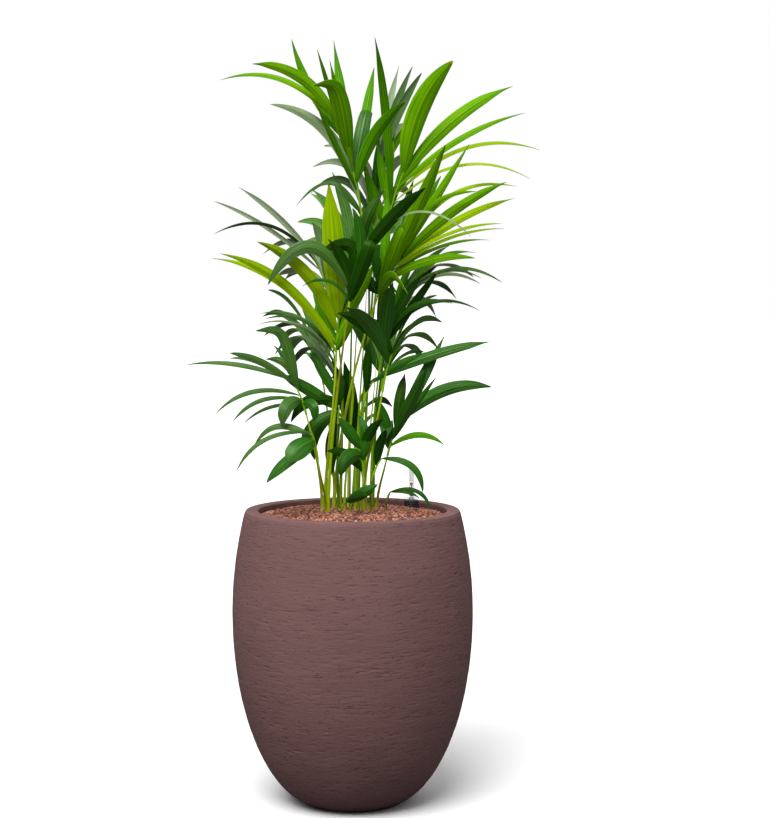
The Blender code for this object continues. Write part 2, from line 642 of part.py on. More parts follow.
def main():
    """Builds the planter and what fills it, then the palm."""
    for obj in list(bpy.data.objects):
        bpy.data.objects.remove(obj)
    collection = bpy.data.collections.new("Kentia palm in planter")
    bpy.context.scene.collection.children.link(collection)
    solids = [build_planter(collection), build_granules(collection), *build_gauge(collection)]
    bpy.context.view_layer.update()
    graph = bpy.context.evaluated_depsgraph_get()
    obstacles = []
    for solid in solids:
        mesh = bpy.data.meshes.new_from_object(solid.evaluated_get(graph))
        mesh.transform(solid.matrix_world)
        corners = [corner.co.copy() for corner in mesh.vertices]
        faces = [tuple(face.vertices) for face in mesh.polygons]
        obstacles.append((solid.name, BVHTree.FromPolygons(corners, faces)))
        bpy.data.meshes.remove(mesh)
    build_fronds(collection, obstacles)


main()
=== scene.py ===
# %% [markdown]
# # A kentia palm in a clay planter
#
# This lesson dresses a plain model of a potted palm. The plain model already has every part at its real
# size and place: the planter, the granules, the water gauge, and a stalk and a frond of thin blades for
# each leaf of the clump. Each step below looks at one piece of the real thing, says how it could be made,
# and then makes it around the frame.

# %% Load the frame
import math
import random

import bpy
import numpy as np
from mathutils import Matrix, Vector
from mathutils.bvhtree import BVHTree


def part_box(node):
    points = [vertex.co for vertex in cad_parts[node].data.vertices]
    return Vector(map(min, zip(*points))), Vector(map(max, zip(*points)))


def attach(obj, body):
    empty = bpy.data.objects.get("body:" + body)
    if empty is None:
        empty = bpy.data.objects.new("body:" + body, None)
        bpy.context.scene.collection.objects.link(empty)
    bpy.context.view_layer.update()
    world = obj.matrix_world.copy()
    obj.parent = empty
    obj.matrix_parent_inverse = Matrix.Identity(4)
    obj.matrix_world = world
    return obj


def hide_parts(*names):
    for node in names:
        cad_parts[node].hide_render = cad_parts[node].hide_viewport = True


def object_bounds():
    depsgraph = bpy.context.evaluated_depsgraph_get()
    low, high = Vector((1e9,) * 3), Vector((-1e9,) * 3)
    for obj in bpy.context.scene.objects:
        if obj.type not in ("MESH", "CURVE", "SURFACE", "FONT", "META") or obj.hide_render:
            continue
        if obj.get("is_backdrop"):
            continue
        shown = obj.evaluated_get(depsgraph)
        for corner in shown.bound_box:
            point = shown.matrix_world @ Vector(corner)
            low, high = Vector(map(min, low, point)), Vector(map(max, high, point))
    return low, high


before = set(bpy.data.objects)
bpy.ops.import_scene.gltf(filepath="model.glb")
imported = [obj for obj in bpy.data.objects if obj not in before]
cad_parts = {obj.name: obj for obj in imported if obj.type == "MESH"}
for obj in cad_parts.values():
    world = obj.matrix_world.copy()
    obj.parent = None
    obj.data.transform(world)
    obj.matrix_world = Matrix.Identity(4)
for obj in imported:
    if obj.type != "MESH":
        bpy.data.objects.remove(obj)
cad_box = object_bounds()
UP = Vector((0, 0, 1))
print("The plain model stands", round(cad_box[1].z, 3), "m tall and has", len(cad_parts), "nodes")

# %% [markdown]
# ## The camera
#
# The planter's rim shows as a flat ellipse, so the eye is only a little above it, and the palm's tips
# hardly grow towards the eye, so it stands well back. A long lens about three metres away gives both.

# %% Place the camera
CAMERA_DISTANCE = 3.134
CAMERA_HEIGHT = 0.876
CAMERA_PITCH = 4.016
CAMERA_TURN = 0.982
SENSOR_WIDTH = 36.0
FOCAL_PIXELS = 1899.4
LONG_SIDE_PIXELS = 818

bpy.ops.object.camera_add(
    location=(0.0, -CAMERA_DISTANCE, CAMERA_HEIGHT),
    rotation=(math.radians(90 - CAMERA_PITCH), 0.0, -math.radians(CAMERA_TURN)),
)
camera = bpy.context.object
camera.data.sensor_width = SENSOR_WIDTH
camera.data.lens = SENSOR_WIDTH * FOCAL_PIXELS / LONG_SIDE_PIXELS
bpy.context.scene.camera = camera
print("The lens is", round(camera.data.lens, 1), "mm")

# %% [markdown]
# ## The floor and the light
#
# The floor is a wide disc. A broad sun from the upper left stands for a large soft lamp: it lights the
# floor evenly as far as it reaches, so the floor runs on into the white behind it. The camera sees a nearly
# white floor, but what the floor sends back up is that of a dark one, which keeps the underside of the
# planter's belly dim. The sky is bright overhead and nearly dark at the horizon for the same reason. A few
# helpers come first, which add the nodes of a finish and link them.

# %% Nodes for finishes
def node(tree, kind, inputs=(), **settings):
    """Adds a shader node, sets it, and fills or links its inputs."""
    made = tree.nodes.new(kind)
    for key, value in settings.items():
        setattr(made, key, value)
    for key, value in dict(inputs).items():
        if isinstance(value, bpy.types.NodeSocket):
            tree.links.new(value, made.inputs[key])
        else:
            made.inputs[key].default_value = value
    return made


def mix(tree, share, first, second):
    """Mixes two colours by a share and gives the socket that the result comes out of."""
    return node(tree, "ShaderNodeMix", {0: share, 6: first, 7: second}, data_type="RGBA").outputs[2]


def maths(tree, operation, first, second=0.0, third=0.0, clamp=False):
    """One step of arithmetic between sockets or numbers."""
    inputs = {0: first, 1: second, 2: third}
    return node(tree, "ShaderNodeMath", inputs, operation=operation, use_clamp=clamp).outputs[0]


def ranged(tree, value, low, high, low_gives=0.0, high_gives=1.0):
    """Spreads what lies between two levels of a value from 0 to 1, or between two other values."""
    inputs = {0: value, 1: low, 2: high, 3: low_gives, 4: high_gives}
    return node(tree, "ShaderNodeMapRange", inputs).outputs[0]


def grey(value):
    """An opaque grey."""
    return (value, value, value, 1.0)


# %% Lay the floor and hang the lamps
FLOOR_RADIUS = 40.0
FLOOR_SIDES = 96
FLOOR_DROP = 0.0004
FLOOR_SEEN = 0.97
FLOOR_BOUNCE = 0.16
FLOOR_ROUGHNESS = 0.9
FLOOR_SHEEN = 0.1
SUN_STRENGTH = 3.4
SUN_SPREAD = 38.0
SUN_HEIGHT = 57.0
SUN_SIDE = 20.0
SKY_TOP = 0.80
SKY_LOW = 0.07
SKY_SEEN = 1.0

bpy.ops.object.select_all(action="DESELECT")
bpy.ops.mesh.primitive_circle_add(
    vertices=FLOOR_SIDES, radius=FLOOR_RADIUS, fill_type="NGON", location=(0, 0, -FLOOR_DROP),
)
floor = bpy.context.object
floor.name = "floor"
floor_finish = bpy.data.materials.new("pale floor")
floor_finish.use_nodes = True
floor_tree = floor_finish.node_tree
floor_shader = floor_tree.nodes["Principled BSDF"]
seen = node(floor_tree, "ShaderNodeLightPath").outputs["Is Camera Ray"]
floor_colour = mix(floor_tree, seen, grey(FLOOR_BOUNCE), grey(FLOOR_SEEN))
floor_tree.links.new(floor_colour, floor_shader.inputs["Base Color"])
floor_shader.inputs["Roughness"].default_value = FLOOR_ROUGHNESS
floor_shader.inputs["Specular IOR Level"].default_value = FLOOR_SHEEN
floor.data.materials.append(floor_finish)
floor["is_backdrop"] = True

bpy.ops.object.light_add(
    type="SUN", location=(-2, -2, 4),
    rotation=(math.radians(90 - SUN_HEIGHT), 0.0, -math.radians(SUN_SIDE)),
)
sun = bpy.context.object
sun.data.energy = SUN_STRENGTH
sun.data.angle = math.radians(SUN_SPREAD)

world = bpy.data.worlds.new("studio")
bpy.context.scene.world = world
world.use_nodes = True
sky = world.node_tree
background = sky.nodes["Background"]
way = node(sky, "ShaderNodeTexCoord").outputs["Generated"]
height = node(sky, "ShaderNodeSeparateXYZ", {0: way}).outputs[2]
dome = ranged(sky, height, 0.0, 1.0, SKY_LOW, SKY_TOP)
by_eye = node(sky, "ShaderNodeLightPath").outputs["Is Camera Ray"]
strength = node(sky, "ShaderNodeMix", {0: by_eye, 2: dome, 3: SKY_SEEN}, data_type="FLOAT")
sky.links.new(strength.outputs[0], background.inputs["Strength"])
background.inputs["Color"].default_value = grey(1.0)
bpy.context.scene.view_settings.view_transform = "Standard"
print("The sun stands", SUN_HEIGHT, "degrees high")

# %% [markdown]
# ## Working by hand in code
#
# Operators act on whatever is selected, so these helpers clear the selection, choose one piece, and choose
# corners of its mesh by their place. A line of corners is drawn by extruding a single corner again and
# again.

# %% Helpers for modelling
def take(piece):
    """Makes one piece the only selected and the active one."""
    bpy.ops.object.select_all(action="DESELECT")
    piece.select_set(True)
    bpy.context.view_layer.objects.active = piece


def edit(piece, wanted=None):
    """Goes into edit mode with every corner selected, or those whose place passes a test."""
    if bpy.context.mode != "OBJECT":
        bpy.ops.object.mode_set(mode="OBJECT")
    take(piece)
    mesh = piece.data
    picked = [wanted is None or bool(wanted(corner.co)) for corner in mesh.vertices]
    mesh.polygons.foreach_set("select", [False] * len(mesh.polygons))
    mesh.edges.foreach_set("select", [False] * len(mesh.edges))
    mesh.vertices.foreach_set("select", picked)
    bpy.ops.object.mode_set(mode="EDIT")
    bpy.ops.mesh.select_mode(type="VERT")


def done(piece, name, smooth):
    """Leaves edit mode, names the piece and shades it smooth up to an angle."""
    if bpy.context.mode != "OBJECT":
        bpy.ops.object.mode_set(mode="OBJECT")
    piece.name = name
    piece.data.name = name
    take(piece)
    bpy.ops.object.shade_smooth_by_angle(angle=math.radians(smooth))
    return piece


def joined(pieces):
    """Joins pieces into the first of them."""
    take(pieces[0])
    for piece in pieces:
        piece.select_set(True)
    bpy.ops.object.join()
    return bpy.context.object


def draw_line(points):
    """A line of corners, drawn by extruding one corner from point to point."""
    bpy.ops.object.select_all(action="DESELECT")
    bpy.ops.mesh.primitive_plane_add(size=1.0, location=(0, 0, 0))
    bpy.ops.object.mode_set(mode="EDIT")
    bpy.ops.mesh.merge(type="CENTER")
    points = [Vector(point) for point in points]
    bpy.ops.transform.translate(value=points[0])
    for before, after in zip(points, points[1:]):
        bpy.ops.mesh.extrude_region_move(TRANSFORM_OT_translate={"value": after - before})
    return bpy.context.object


def turn_line(points, steps, name, smooth):
    """A turned piece: an outline of (radius, height), from inside over the top down, spun round Z."""
    piece = draw_line([(radius, 0.0, height) for radius, height in points])
    bpy.ops.mesh.select_all(action="SELECT")
    bpy.ops.mesh.spin(steps=steps, angle=2 * math.pi, center=(0, 0, 0), axis=(0, 0, 1))
    bpy.ops.mesh.select_all(action="SELECT")
    bpy.ops.mesh.remove_doubles(threshold=0.00002)
    bpy.ops.mesh.normals_make_consistent(inside=False)
    return done(piece, name, smooth)


def settle(piece, slot, *nodes):
    """Lets a finished piece ride and stand for its nodes; its slot is not used."""
    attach(piece, "root")
    if nodes:
        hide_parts(*nodes)
    triangles = sum(len(face.vertices) - 2 for face in piece.data.polygons)
    print(piece.name, "has", triangles, "triangles")


# %% Helpers for finishes
def finish_with(piece, *finishes):
    """Gives a piece its materials."""
    piece.data.materials.clear()
    for finish in finishes:
        piece.data.materials.append(finish)


def group(name, **inputs):
    """A node group with a number or a colour for each input, and colour, roughness and height to put out."""
    made = bpy.data.node_groups.new(name, "ShaderNodeTree")
    for socket, value in inputs.items():
        kind = "NodeSocketColor" if isinstance(value, tuple) else "NodeSocketFloat"
        made.interface.new_socket(name=socket, in_out="INPUT", socket_type=kind).default_value = value
    for socket, kind in (("Colour", "Color"), ("Roughness", "Float"), ("Height", "Float")):
        made.interface.new_socket(name=socket, in_out="OUTPUT", socket_type="NodeSocket" + kind)
    return made, made.nodes.new("NodeGroupInput").outputs


def put_out(tree, colour, roughness, height):
    """Ends a group: links what it puts out."""
    out = tree.nodes.new("NodeGroupOutput")
    for socket, value in (("Colour", colour), ("Roughness", roughness), ("Height", height)):
        tree.links.new(value, out.inputs[socket])
    return tree


def noise(tree, place, scale, detail, rough=0.5):
    """Cloudy noise at a place."""
    inputs = {"Vector": place, "Scale": scale, "Detail": detail, "Roughness": rough}
    return node(tree, "ShaderNodeTexNoise", inputs).outputs[0]


def layered(tree, colour, *layers):
    """Lays colours over a first one, each by a mask and a strength of its own."""
    for mask, strength, over in layers:
        colour = mix(tree, maths(tree, "MULTIPLY", mask, strength), colour, over)
    return colour


def summed(tree, *parts):
    """Adds up masks, each times a strength of its own."""
    total = 0.0
    for mask, strength in parts:
        total = maths(tree, "MULTIPLY_ADD", mask, strength, total)
    return total


def finish_from(effect, name, relief, roughness, specular, values, even=False, **constants):
    """A material that carries a group's colour, its relief in metres and, unless it is even, its roughness.

    The plain values sit on the shader's own sockets.
    """
    made = bpy.data.materials.new(name)
    made.use_nodes = True
    tree = made.node_tree
    shader = tree.nodes["Principled BSDF"]
    shader.inputs["Roughness"].default_value = roughness
    shader.inputs["Specular IOR Level"].default_value = specular
    for socket, value in constants.items():
        shader.inputs[socket.replace("_", " ")].default_value = value
    worn = node(tree, "ShaderNodeGroup", node_tree=effect)
    for socket, value in values.items():
        worn.inputs[socket].default_value = (*value, 1.0) if isinstance(value, tuple) else value
    tree.links.new(worn.outputs["Colour"], shader.inputs["Base Color"])
    if not even:
        tree.links.new(worn.outputs["Roughness"], shader.inputs["Roughness"])
    inputs = {"Height": worn.outputs["Height"], "Distance": relief, "Strength": 1.0}
    tree.links.new(node(tree, "ShaderNodeBump", inputs).outputs[0], shader.inputs["Normal"])
    return made


# %% [markdown]
# ## The planter
#
# The real planter is cast and then dragged with a wet tool: a matt mauve-brown skin with fine level
# streaks, short tears with a dark upper edge, and small pits. Its outline could be a lathe modifier on a
# curve. Here it is drawn as a line of corners and spun, because the rows can then lie close together, where
# the streaks need them, and the columns far apart. The relief is real: four Displace modifiers read noise
# that is stretched level through a squashed empty.

# %% Sizes of the planter
PLANTER_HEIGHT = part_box("planter")[1].z
BELLY_RADIUS = 0.200
RIM_RADIUS = 0.178
BELLY_HEIGHT = 0.318
FOOT_RADIUS = 0.071
LIP_WIDTH = 0.022
LIP_ROUND = 0.0032
GROOVE_DEPTH = 0.0022
GROOVE_LOW = 0.0165
GROOVE_HIGH = 0.0115
LOWER_BULGE = 2.05
LOWER_TUCK = 1.79
FOOT_ROUND = 0.003
FOOT_BEVEL = 0.0005
INSIDE_DEPTH = 0.030
ROWS = 340
COLUMNS = 256


def outer_radius(height):
    """The planter's outer radius: a full belly that tucks in to the foot and closes to the rim."""
    if height < BELLY_HEIGHT:
        share = 1.0 - height / BELLY_HEIGHT
        swell = (1.0 - share**LOWER_BULGE) ** (1.0 / LOWER_TUCK)
        return FOOT_RADIUS + (BELLY_RADIUS - FOOT_RADIUS) * swell
    share = (height - BELLY_HEIGHT) / (PLANTER_HEIGHT - BELLY_HEIGHT)
    return BELLY_RADIUS - (BELLY_RADIUS - RIM_RADIUS) * share**2


def arc(centre, radius, first, last, steps):
    """Points of a round corner, from one angle to another in degrees."""
    angles = [math.radians(first + (last - first) * step / steps) for step in range(steps + 1)]
    return [(centre[0] + radius * math.cos(a), centre[1] + radius * math.sin(a)) for a in angles]


lip_inner = RIM_RADIUS - LIP_WIDTH
lip_height = PLANTER_HEIGHT - LIP_ROUND
groove_radius = lip_inner + GROOVE_DEPTH
groove_low, groove_high = PLANTER_HEIGHT - GROOVE_LOW, PLANTER_HEIGHT - GROOVE_HIGH
outline_points = [(0.0, PLANTER_HEIGHT - INSIDE_DEPTH), (lip_inner, PLANTER_HEIGHT - INSIDE_DEPTH)]
outline_points += [(lip_inner, groove_low), (groove_radius, groove_low)]
outline_points += [(groove_radius, groove_high), (lip_inner, groove_high)]
outline_points += arc((lip_inner + LIP_ROUND, lip_height), LIP_ROUND, 180, 90, 6)
outline_points += arc((RIM_RADIUS - LIP_ROUND, lip_height), LIP_ROUND, 90, 0, 6)
for row in range(1, ROWS):
    row_height = lip_height + (FOOT_ROUND - lip_height) * row / ROWS
    outline_points.append((outer_radius(row_height), row_height))
outline_points += [(outer_radius(FOOT_ROUND) - FOOT_BEVEL, FOOT_ROUND * 0.4), (FOOT_RADIUS, 0.0), (0.0, 0.0)]
print("The planter's outline has", len(outline_points), "points")

# %% Spin the planter and drag its skin
PLANTER_SMOOTH = 60
FOOT_MARGIN = 0.002
FOOT_FADE = 0.012
RIM_FADE = 0.010
GROOVE_MARGIN = 0.0004
LIP_DEPTH = 0.0045
PAINTED_SHADE_FROM = 0.4
STREAKS = (
    ("broad waves", (0.110, 0.110, 0.022), 0.00070, 0.0),
    ("dragged streaks", (0.034, 0.034, 0.0032), 0.00022, 3.5),
    ("fine streaks", (0.018, 0.018, 0.0018), 0.00016, -4.0),
)
TEARS = ("tears", (0.014, 0.014, 0.0026), -0.0009, 3.0)
TEAR_LEVELS = (0.67, 0.73)
NOISE_CENTRE = (0.013, 0.007, 0.0)


def drag(piece, name, reach, strength, tilt, middle=0.5, levels=None):
    """Moves a skin in and out by noise that is stretched through an empty, and applies it."""
    turns = (math.radians(tilt), math.radians(tilt / 2), 0.0)
    bpy.ops.object.empty_add(location=NOISE_CENTRE, rotation=turns)
    stretch = bpy.context.object
    stretch.scale = reach
    bpy.context.view_layer.update()
    cloudy = bpy.data.textures.new(name, "CLOUDS")
    cloudy.noise_scale = 1.0
    cloudy.noise_depth = 3
    if levels:
        cloudy.use_color_ramp = True
        first, last = cloudy.color_ramp.elements
        first.position, first.color = levels[0], grey(0.0)
        last.position, last.color = levels[1], grey(1.0)
    take(piece)
    move = piece.modifiers.new(name, "DISPLACE")
    move.texture = cloudy
    move.texture_coords = "OBJECT"
    move.texture_coords_object = stretch
    move.vertex_group = "skin"
    move.strength = strength
    move.mid_level = middle
    bpy.ops.object.modifier_apply(modifier=move.name)
    bpy.data.objects.remove(stretch)


planter = turn_line(outline_points, COLUMNS, "planter_body", PLANTER_SMOOTH)
skin_group = planter.vertex_groups.new(name="skin")
for corner in planter.data.vertices:
    radius = math.hypot(corner.co.x, corner.co.y)
    on_belly = corner.co.z < BELLY_HEIGHT and radius > FOOT_RADIUS + FOOT_MARGIN
    if radius > RIM_RADIUS - LIP_ROUND or on_belly:
        fade = min(1.0, corner.co.z / FOOT_FADE, (PLANTER_HEIGHT - corner.co.z) / RIM_FADE)
        skin_group.add([corner.index], max(0.0, fade), "REPLACE")
for streak in STREAKS:
    drag(planter, *streak)
drag(planter, *TEARS, middle=0.0, levels=TEAR_LEVELS)
# Faces inside the lip, below its top, take the second material, a nearly black clay: painted shade inside the
# planter.
for face in planter.data.polygons:
    x, y, z = face.center
    inside = math.hypot(x, y) < groove_radius + GROOVE_MARGIN
    face.material_index = int(inside and PAINTED_SHADE_FROM < z < PLANTER_HEIGHT - LIP_DEPTH)
settle(planter, "planter_clay", "planter")

# %% [markdown]
# ## The clay's finish
#
# The colour hardly changes, so the work is in small things: a lighter dust on what stands out, darker damp
# patches, a sprinkle of dark pits and pale grains. The pits and tears are darkened where they sink, which
# paints the shade in them. All of it reads Object coordinates, squashed in height where it should look
# dragged, so that the pattern runs round the planter with no seam. The inside of the lip, below its top, is
# given a nearly black clay, which paints the shade inside the planter.

# %% Mix the clay
def dragged_clay():
    """Node group: streaks, patches, pits and grains of a dragged clay skin, with painted shade in the pits
    and tears.
    """
    tree, given = group("Dragged clay", Clay=grey(0.2), Damp=grey(0.1), Dust=grey(0.3), Pits=0.5)
    clay_tone, damp_and_shade, dust, pits = (given[socket] for socket in ("Clay", "Damp", "Dust", "Pits"))
    place = node(tree, "ShaderNodeTexCoord").outputs["Object"]

    def drawn(scale, low, high, detail):
        """A mask of noise that is squashed by a scale for each axis."""
        squashed = node(tree, "ShaderNodeMapping", {0: place, 3: scale}).outputs[0]
        return ranged(tree, noise(tree, squashed, 1.0, detail, 0.6), low, high)

    patches = drawn((9, 9, 14), 0.35, 0.70, 4.0)
    streaks = drawn((30, 30, 420), 0.32, 0.68, 4.0)
    fine = drawn((150, 150, 1100), 0.30, 0.70, 2.0)
    grain = drawn((1100, 1100, 1500), 0.50, 0.66, 2.0)
    # Pits and tears are darkened as well as sunk: painted shade in them. The darker colour also marks damp
    # patches.
    shaded_pit = maths(tree, "MULTIPLY", drawn((75, 75, 330), 0.66, 0.72, 2.0), pits)
    shaded_tear = maths(tree, "MULTIPLY", drawn((40, 40, 340), 0.62, 0.67, 3.0), pits)
    shaded_tear = maths(tree, "MULTIPLY", shaded_tear, drawn((11, 11, 17), 0.47, 0.60, 2.0))
    colour = layered(
        tree, clay_tone, (patches, 0.45, damp_and_shade), (streaks, 0.24, dust), (fine, 0.16, damp_and_shade),
        (grain, 0.30, dust), (shaded_pit, 0.75, damp_and_shade), (shaded_tear, 0.40, damp_and_shade),
    )
    rough = maths(tree, "MULTIPLY_ADD", streaks, 0.12, 0.72)
    relief = summed(tree, (streaks, 0.22), (fine, 0.30), (grain, 0.12), (shaded_pit, -1.1), (shaded_tear, -1.5))
    return put_out(tree, colour, rough, relief)


DRAGGED_CLAY = {
    "Clay": (0.192, 0.098, 0.095), "Damp": (0.118, 0.059, 0.058), "Dust": (0.275, 0.152, 0.146), "Pits": 1.0,
}
# The inside clay is nearly black: painted shade inside the planter.
PAINTED_SHADE_CLAY = {
    "Clay": (0.013, 0.0065, 0.0062), "Damp": (0.008, 0.004, 0.004), "Dust": (0.024, 0.0125, 0.012),
    "Pits": 0.3,
}
clay_effect = dragged_clay()
finish_with(
    planter,
    finish_from(clay_effect, "dragged clay", 0.0006, 0.8, 0.25, DRAGGED_CLAY),
    finish_from(clay_effect, "inside painted shade", 0.0002, 0.85, 0.15, PAINTED_SHADE_CLAY),
)
print("The clay has", len(clay_effect.nodes), "nodes in its group")

# %% [markdown]
# ## The granules
#
# The planter is filled with small fired clay lumps, 4 to 8 mm across, in terracotta tones from pale to
# burnt. One lump is a cube that is subdivided, rounded and pushed about. Thousands of copies of a few such
# lumps lie along a spiral that spreads them evenly, with a random size, turn and height for each. The plain
# fill stays under them in a dark brown, which paints the shade between the lumps.

# %% Model a few lumps
LUMP_KINDS = 6
LUMP_CUBE = 1.2
LUMP_ROUND = 0.80
LUMP_UNEVEN = 0.10


def model_lump(seed):
    """One lump of unit size: a cube, cut once, rounded and made uneven. Gives its corners and faces."""
    bpy.ops.object.select_all(action="DESELECT")
    bpy.ops.mesh.primitive_cube_add(size=LUMP_CUBE, location=(0, 0, 0))
    piece = bpy.context.object
    bpy.ops.object.mode_set(mode="EDIT")
    bpy.ops.mesh.select_all(action="SELECT")
    bpy.ops.mesh.subdivide(number_cuts=1)
    bpy.ops.transform.tosphere(value=LUMP_ROUND)
    bpy.ops.transform.vertex_random(offset=LUMP_UNEVEN, uniform=1.0, seed=seed)
    bpy.ops.object.mode_set(mode="OBJECT")
    corners = np.array([corner.co for corner in piece.data.vertices])
    corners -= corners.mean(0)
    corners /= np.abs(corners).max()
    faces = np.array([face.vertices for face in piece.data.polygons])
    bpy.data.objects.remove(piece)
    return corners, faces


lumps = [model_lump(seed) for seed in range(1, LUMP_KINDS + 1)]
print("A lump has", len(lumps[0][1]), "faces")

# %% Mix the granules' tones
GRANULE_TONES = (
    ("terracotta", (0.40, 0.145, 0.088), (0.54, 0.25, 0.18)),
    ("burnt", (0.20, 0.070, 0.048), (0.34, 0.13, 0.09)),
    ("pale clay", (0.50, 0.27, 0.21), (0.62, 0.40, 0.34)),
    ("orange clay", (0.52, 0.185, 0.085), (0.60, 0.29, 0.17)),
    ("dark clay", (0.10, 0.040, 0.034), (0.20, 0.085, 0.066)),
)
GRANULE_SHARES = (0.37, 0.30, 0.06, 0.08, 0.19)


def speckled():
    """Node group: a ground with a second colour in grains and patches, and the grains' height."""
    tree, given = group("Speckle", Ground=grey(0.2), Grain=grey(0.4), Scale=900.0, Amount=0.5)
    place = node(tree, "ShaderNodeTexCoord").outputs["Object"]
    fine = noise(tree, place, given["Scale"], 3.0)
    broad = noise(tree, place, maths(tree, "MULTIPLY", given["Scale"], 0.23), 2.0)
    grains = ranged(tree, fine, 0.42, 0.66)
    patches = ranged(tree, broad, 0.38, 0.66)
    share = maths(tree, "MULTIPLY", maths(tree, "ADD", grains, patches), given["Amount"])
    colour = mix(tree, share, given["Ground"], given["Grain"])
    return put_out(tree, colour, maths(tree, "MULTIPLY_ADD", grains, 0.2, 0.62), fine)


speckle = speckled()


def speckled_finish(name, ground, grain, scale, relief, roughness=None, specular=0.5, amount=0.4, **plain):
    """A speckled material, with the speckle's own roughness where none is given."""
    values = {"Ground": ground, "Grain": grain, "Scale": scale, "Amount": amount}
    even = roughness is not None
    return finish_from(speckle, name, relief, roughness or 0.8, specular, values, even, **plain)


granule_finishes = [
    speckled_finish(name, ground, grain, 700.0, 0.0005, specular=0.3) for name, ground, grain in GRANULE_TONES
]
# The fill under the lumps is dark brown: painted shade between the lumps.
fill_shade_finish = speckled_finish("granule fill painted shade", (0.060, 0.024, 0.018), (0.16, 0.060, 0.040), 420.0, 0.0012)
print(len(granule_finishes), "tones of granules")

# %% Spread the lumps over the fill
FILL_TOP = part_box("granule_fill")[1].z
FILL_EDGE = 0.474
FILL_FLAT = 0.100
LAYERS = (
    ("granules_under", 1700, 0.0026, 0.0036, 0.0002),
    ("granules_upper", 2300, 0.0024, 0.0042, 0.0026),
)
FIRST_SEED = 11
GOLDEN_TURN = math.pi * (3 - math.sqrt(5))
LIP_CLEAR = 0.0006
SHIFT = 0.0012
UNEVEN = (-0.0010, 0.0012)
FLATTEST = (0.75, 0.75, 0.65)
FULLEST = (1.1, 1.1, 0.95)
LUMP_SMOOTH = 75
GAUGE_PLACE = (0.100, 0.074)
GAUGE_CLEAR = 0.0145


def fill_height(radius):
    """The height of the fill: level in the middle, falling a little to the rim."""
    slope = (FILL_TOP - FILL_EDGE) / (lip_inner - FILL_FLAT)
    return FILL_TOP - slope * max(0.0, radius - FILL_FLAT)


def spread_lumps(name, count, smallest, largest, lift, seed):
    """Joins many turned and scaled copies of the lumps into one mesh."""
    chance = np.random.default_rng(seed)
    all_corners, all_faces, tones, start = [], [], [], 0
    for index in range(count):
        size = chance.uniform(smallest, largest)
        radius = (lip_inner - size - LIP_CLEAR) * math.sqrt((index + 0.5) / count)
        turn = index * GOLDEN_TURN
        x = radius * math.cos(turn) + chance.uniform(-SHIFT, SHIFT)
        y = radius * math.sin(turn) + chance.uniform(-SHIFT, SHIFT)
        at_gauge = math.hypot(x - GAUGE_PLACE[0], y - GAUGE_PLACE[1]) < GAUGE_CLEAR
        if at_gauge or math.hypot(x, y) > lip_inner - size:
            continue
        turned, _ = np.linalg.qr(chance.normal(size=(3, 3)))
        turned *= np.sign(np.linalg.det(turned))
        corners, faces = lumps[chance.integers(len(lumps))]
        squash = chance.uniform(FLATTEST, FULLEST) * size
        height = fill_height(radius) + lift + chance.uniform(*UNEVEN)
        all_corners.append((corners * squash) @ turned.T + (x, y, height))
        all_faces.append(faces + start)
        tones += [int(chance.choice(len(GRANULE_TONES), p=GRANULE_SHARES))] * len(faces)
        start += len(corners)
    corners, faces = np.concatenate(all_corners), np.concatenate(all_faces)
    mesh = bpy.data.meshes.new(name)
    mesh.from_pydata(corners.tolist(), [], faces.tolist())
    piece = bpy.data.objects.new(name, mesh)
    bpy.context.scene.collection.objects.link(piece)
    finish_with(piece, *granule_finishes)
    mesh.polygons.foreach_set("material_index", tones)
    return done(piece, name, LUMP_SMOOTH)


for layer, sizes in enumerate(LAYERS):
    settle(spread_lumps(*sizes, FIRST_SEED + layer), "granules")
finish_with(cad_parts["granule_fill"], fill_shade_finish)

# %% [markdown]
# ## The water gauge
#
# A dark collar sits in the granules with a clear shoulder on it, and a clear tube stands in that. A thin
# float rod with a red end rides in the tube, and a small yellow mark shows the fill. All are turned pieces.
# The tube has a real wall and a closed top, since light bends twice in it, and its plastic is mostly see-
# through.

# %% Turn the gauge
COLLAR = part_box("gauge_collar")
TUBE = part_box("gauge_tube")
COLLAR_RADIUS = (COLLAR[1].x - COLLAR[0].x) / 2
COLLAR_ROUND = 0.0015
COLLAR_MOUTH = 0.0012
COLLAR_RIDGES = 3
RIDGE_HALF = 0.0006
RIDGE_DEPTH = 0.0003
TUBE_RADIUS = (TUBE[1].x - TUBE[0].x) / 2
TUBE_WALL = 0.0009
TUBE_ROUND = 0.0012
TUBE_FLOOR = 0.001
TUBE_CROWN = 0.0016
TUBE_SLOPE = 0.0004
SHOULDER = 0.0045
SHOULDER_ROUND = 0.0022
SHOULDER_LIP = 0.0008
SHOULDER_GAP = 0.0006
SHOULDER_SEAT = 0.0002
TUBE_SEAT = 0.0004
FLOAT_RADIUS = 0.0010
FLOAT_TOP = 0.026
FLOAT_FOOT = 0.012
BAND_BEVEL = 0.0003
YELLOW_BAND = (0.0215, 0.0245, 0.0026)
RED_BAND = (0.0022, 0.0062, 0.0024)
GAUGE_SMOOTH = 40
COLLAR_SIDES = 48
PIPE_SIDES = 32
BAND_SIDES = 24
FLOAT_SIDES = 12


def gauge_piece(name, line, steps):
    """A turned piece of the gauge, with its place in its mesh."""
    piece = turn_line(line, steps, name, GAUGE_SMOOTH)
    edit(piece)
    bpy.ops.transform.translate(value=(*GAUGE_PLACE, 0.0))
    bpy.ops.object.mode_set(mode="OBJECT")
    return piece


def band_line(low_above, high_above, radius):
    """The outline of a short band inside the tube, its edges so far above the collar."""
    low_edge, high_edge = high + low_above, high + high_above
    line = [(0.0, high_edge), (radius - BAND_BEVEL, high_edge), (radius, high_edge - BAND_BEVEL)]
    return line + [(radius, low_edge + BAND_BEVEL), (radius - BAND_BEVEL, low_edge), (0.0, low_edge)]


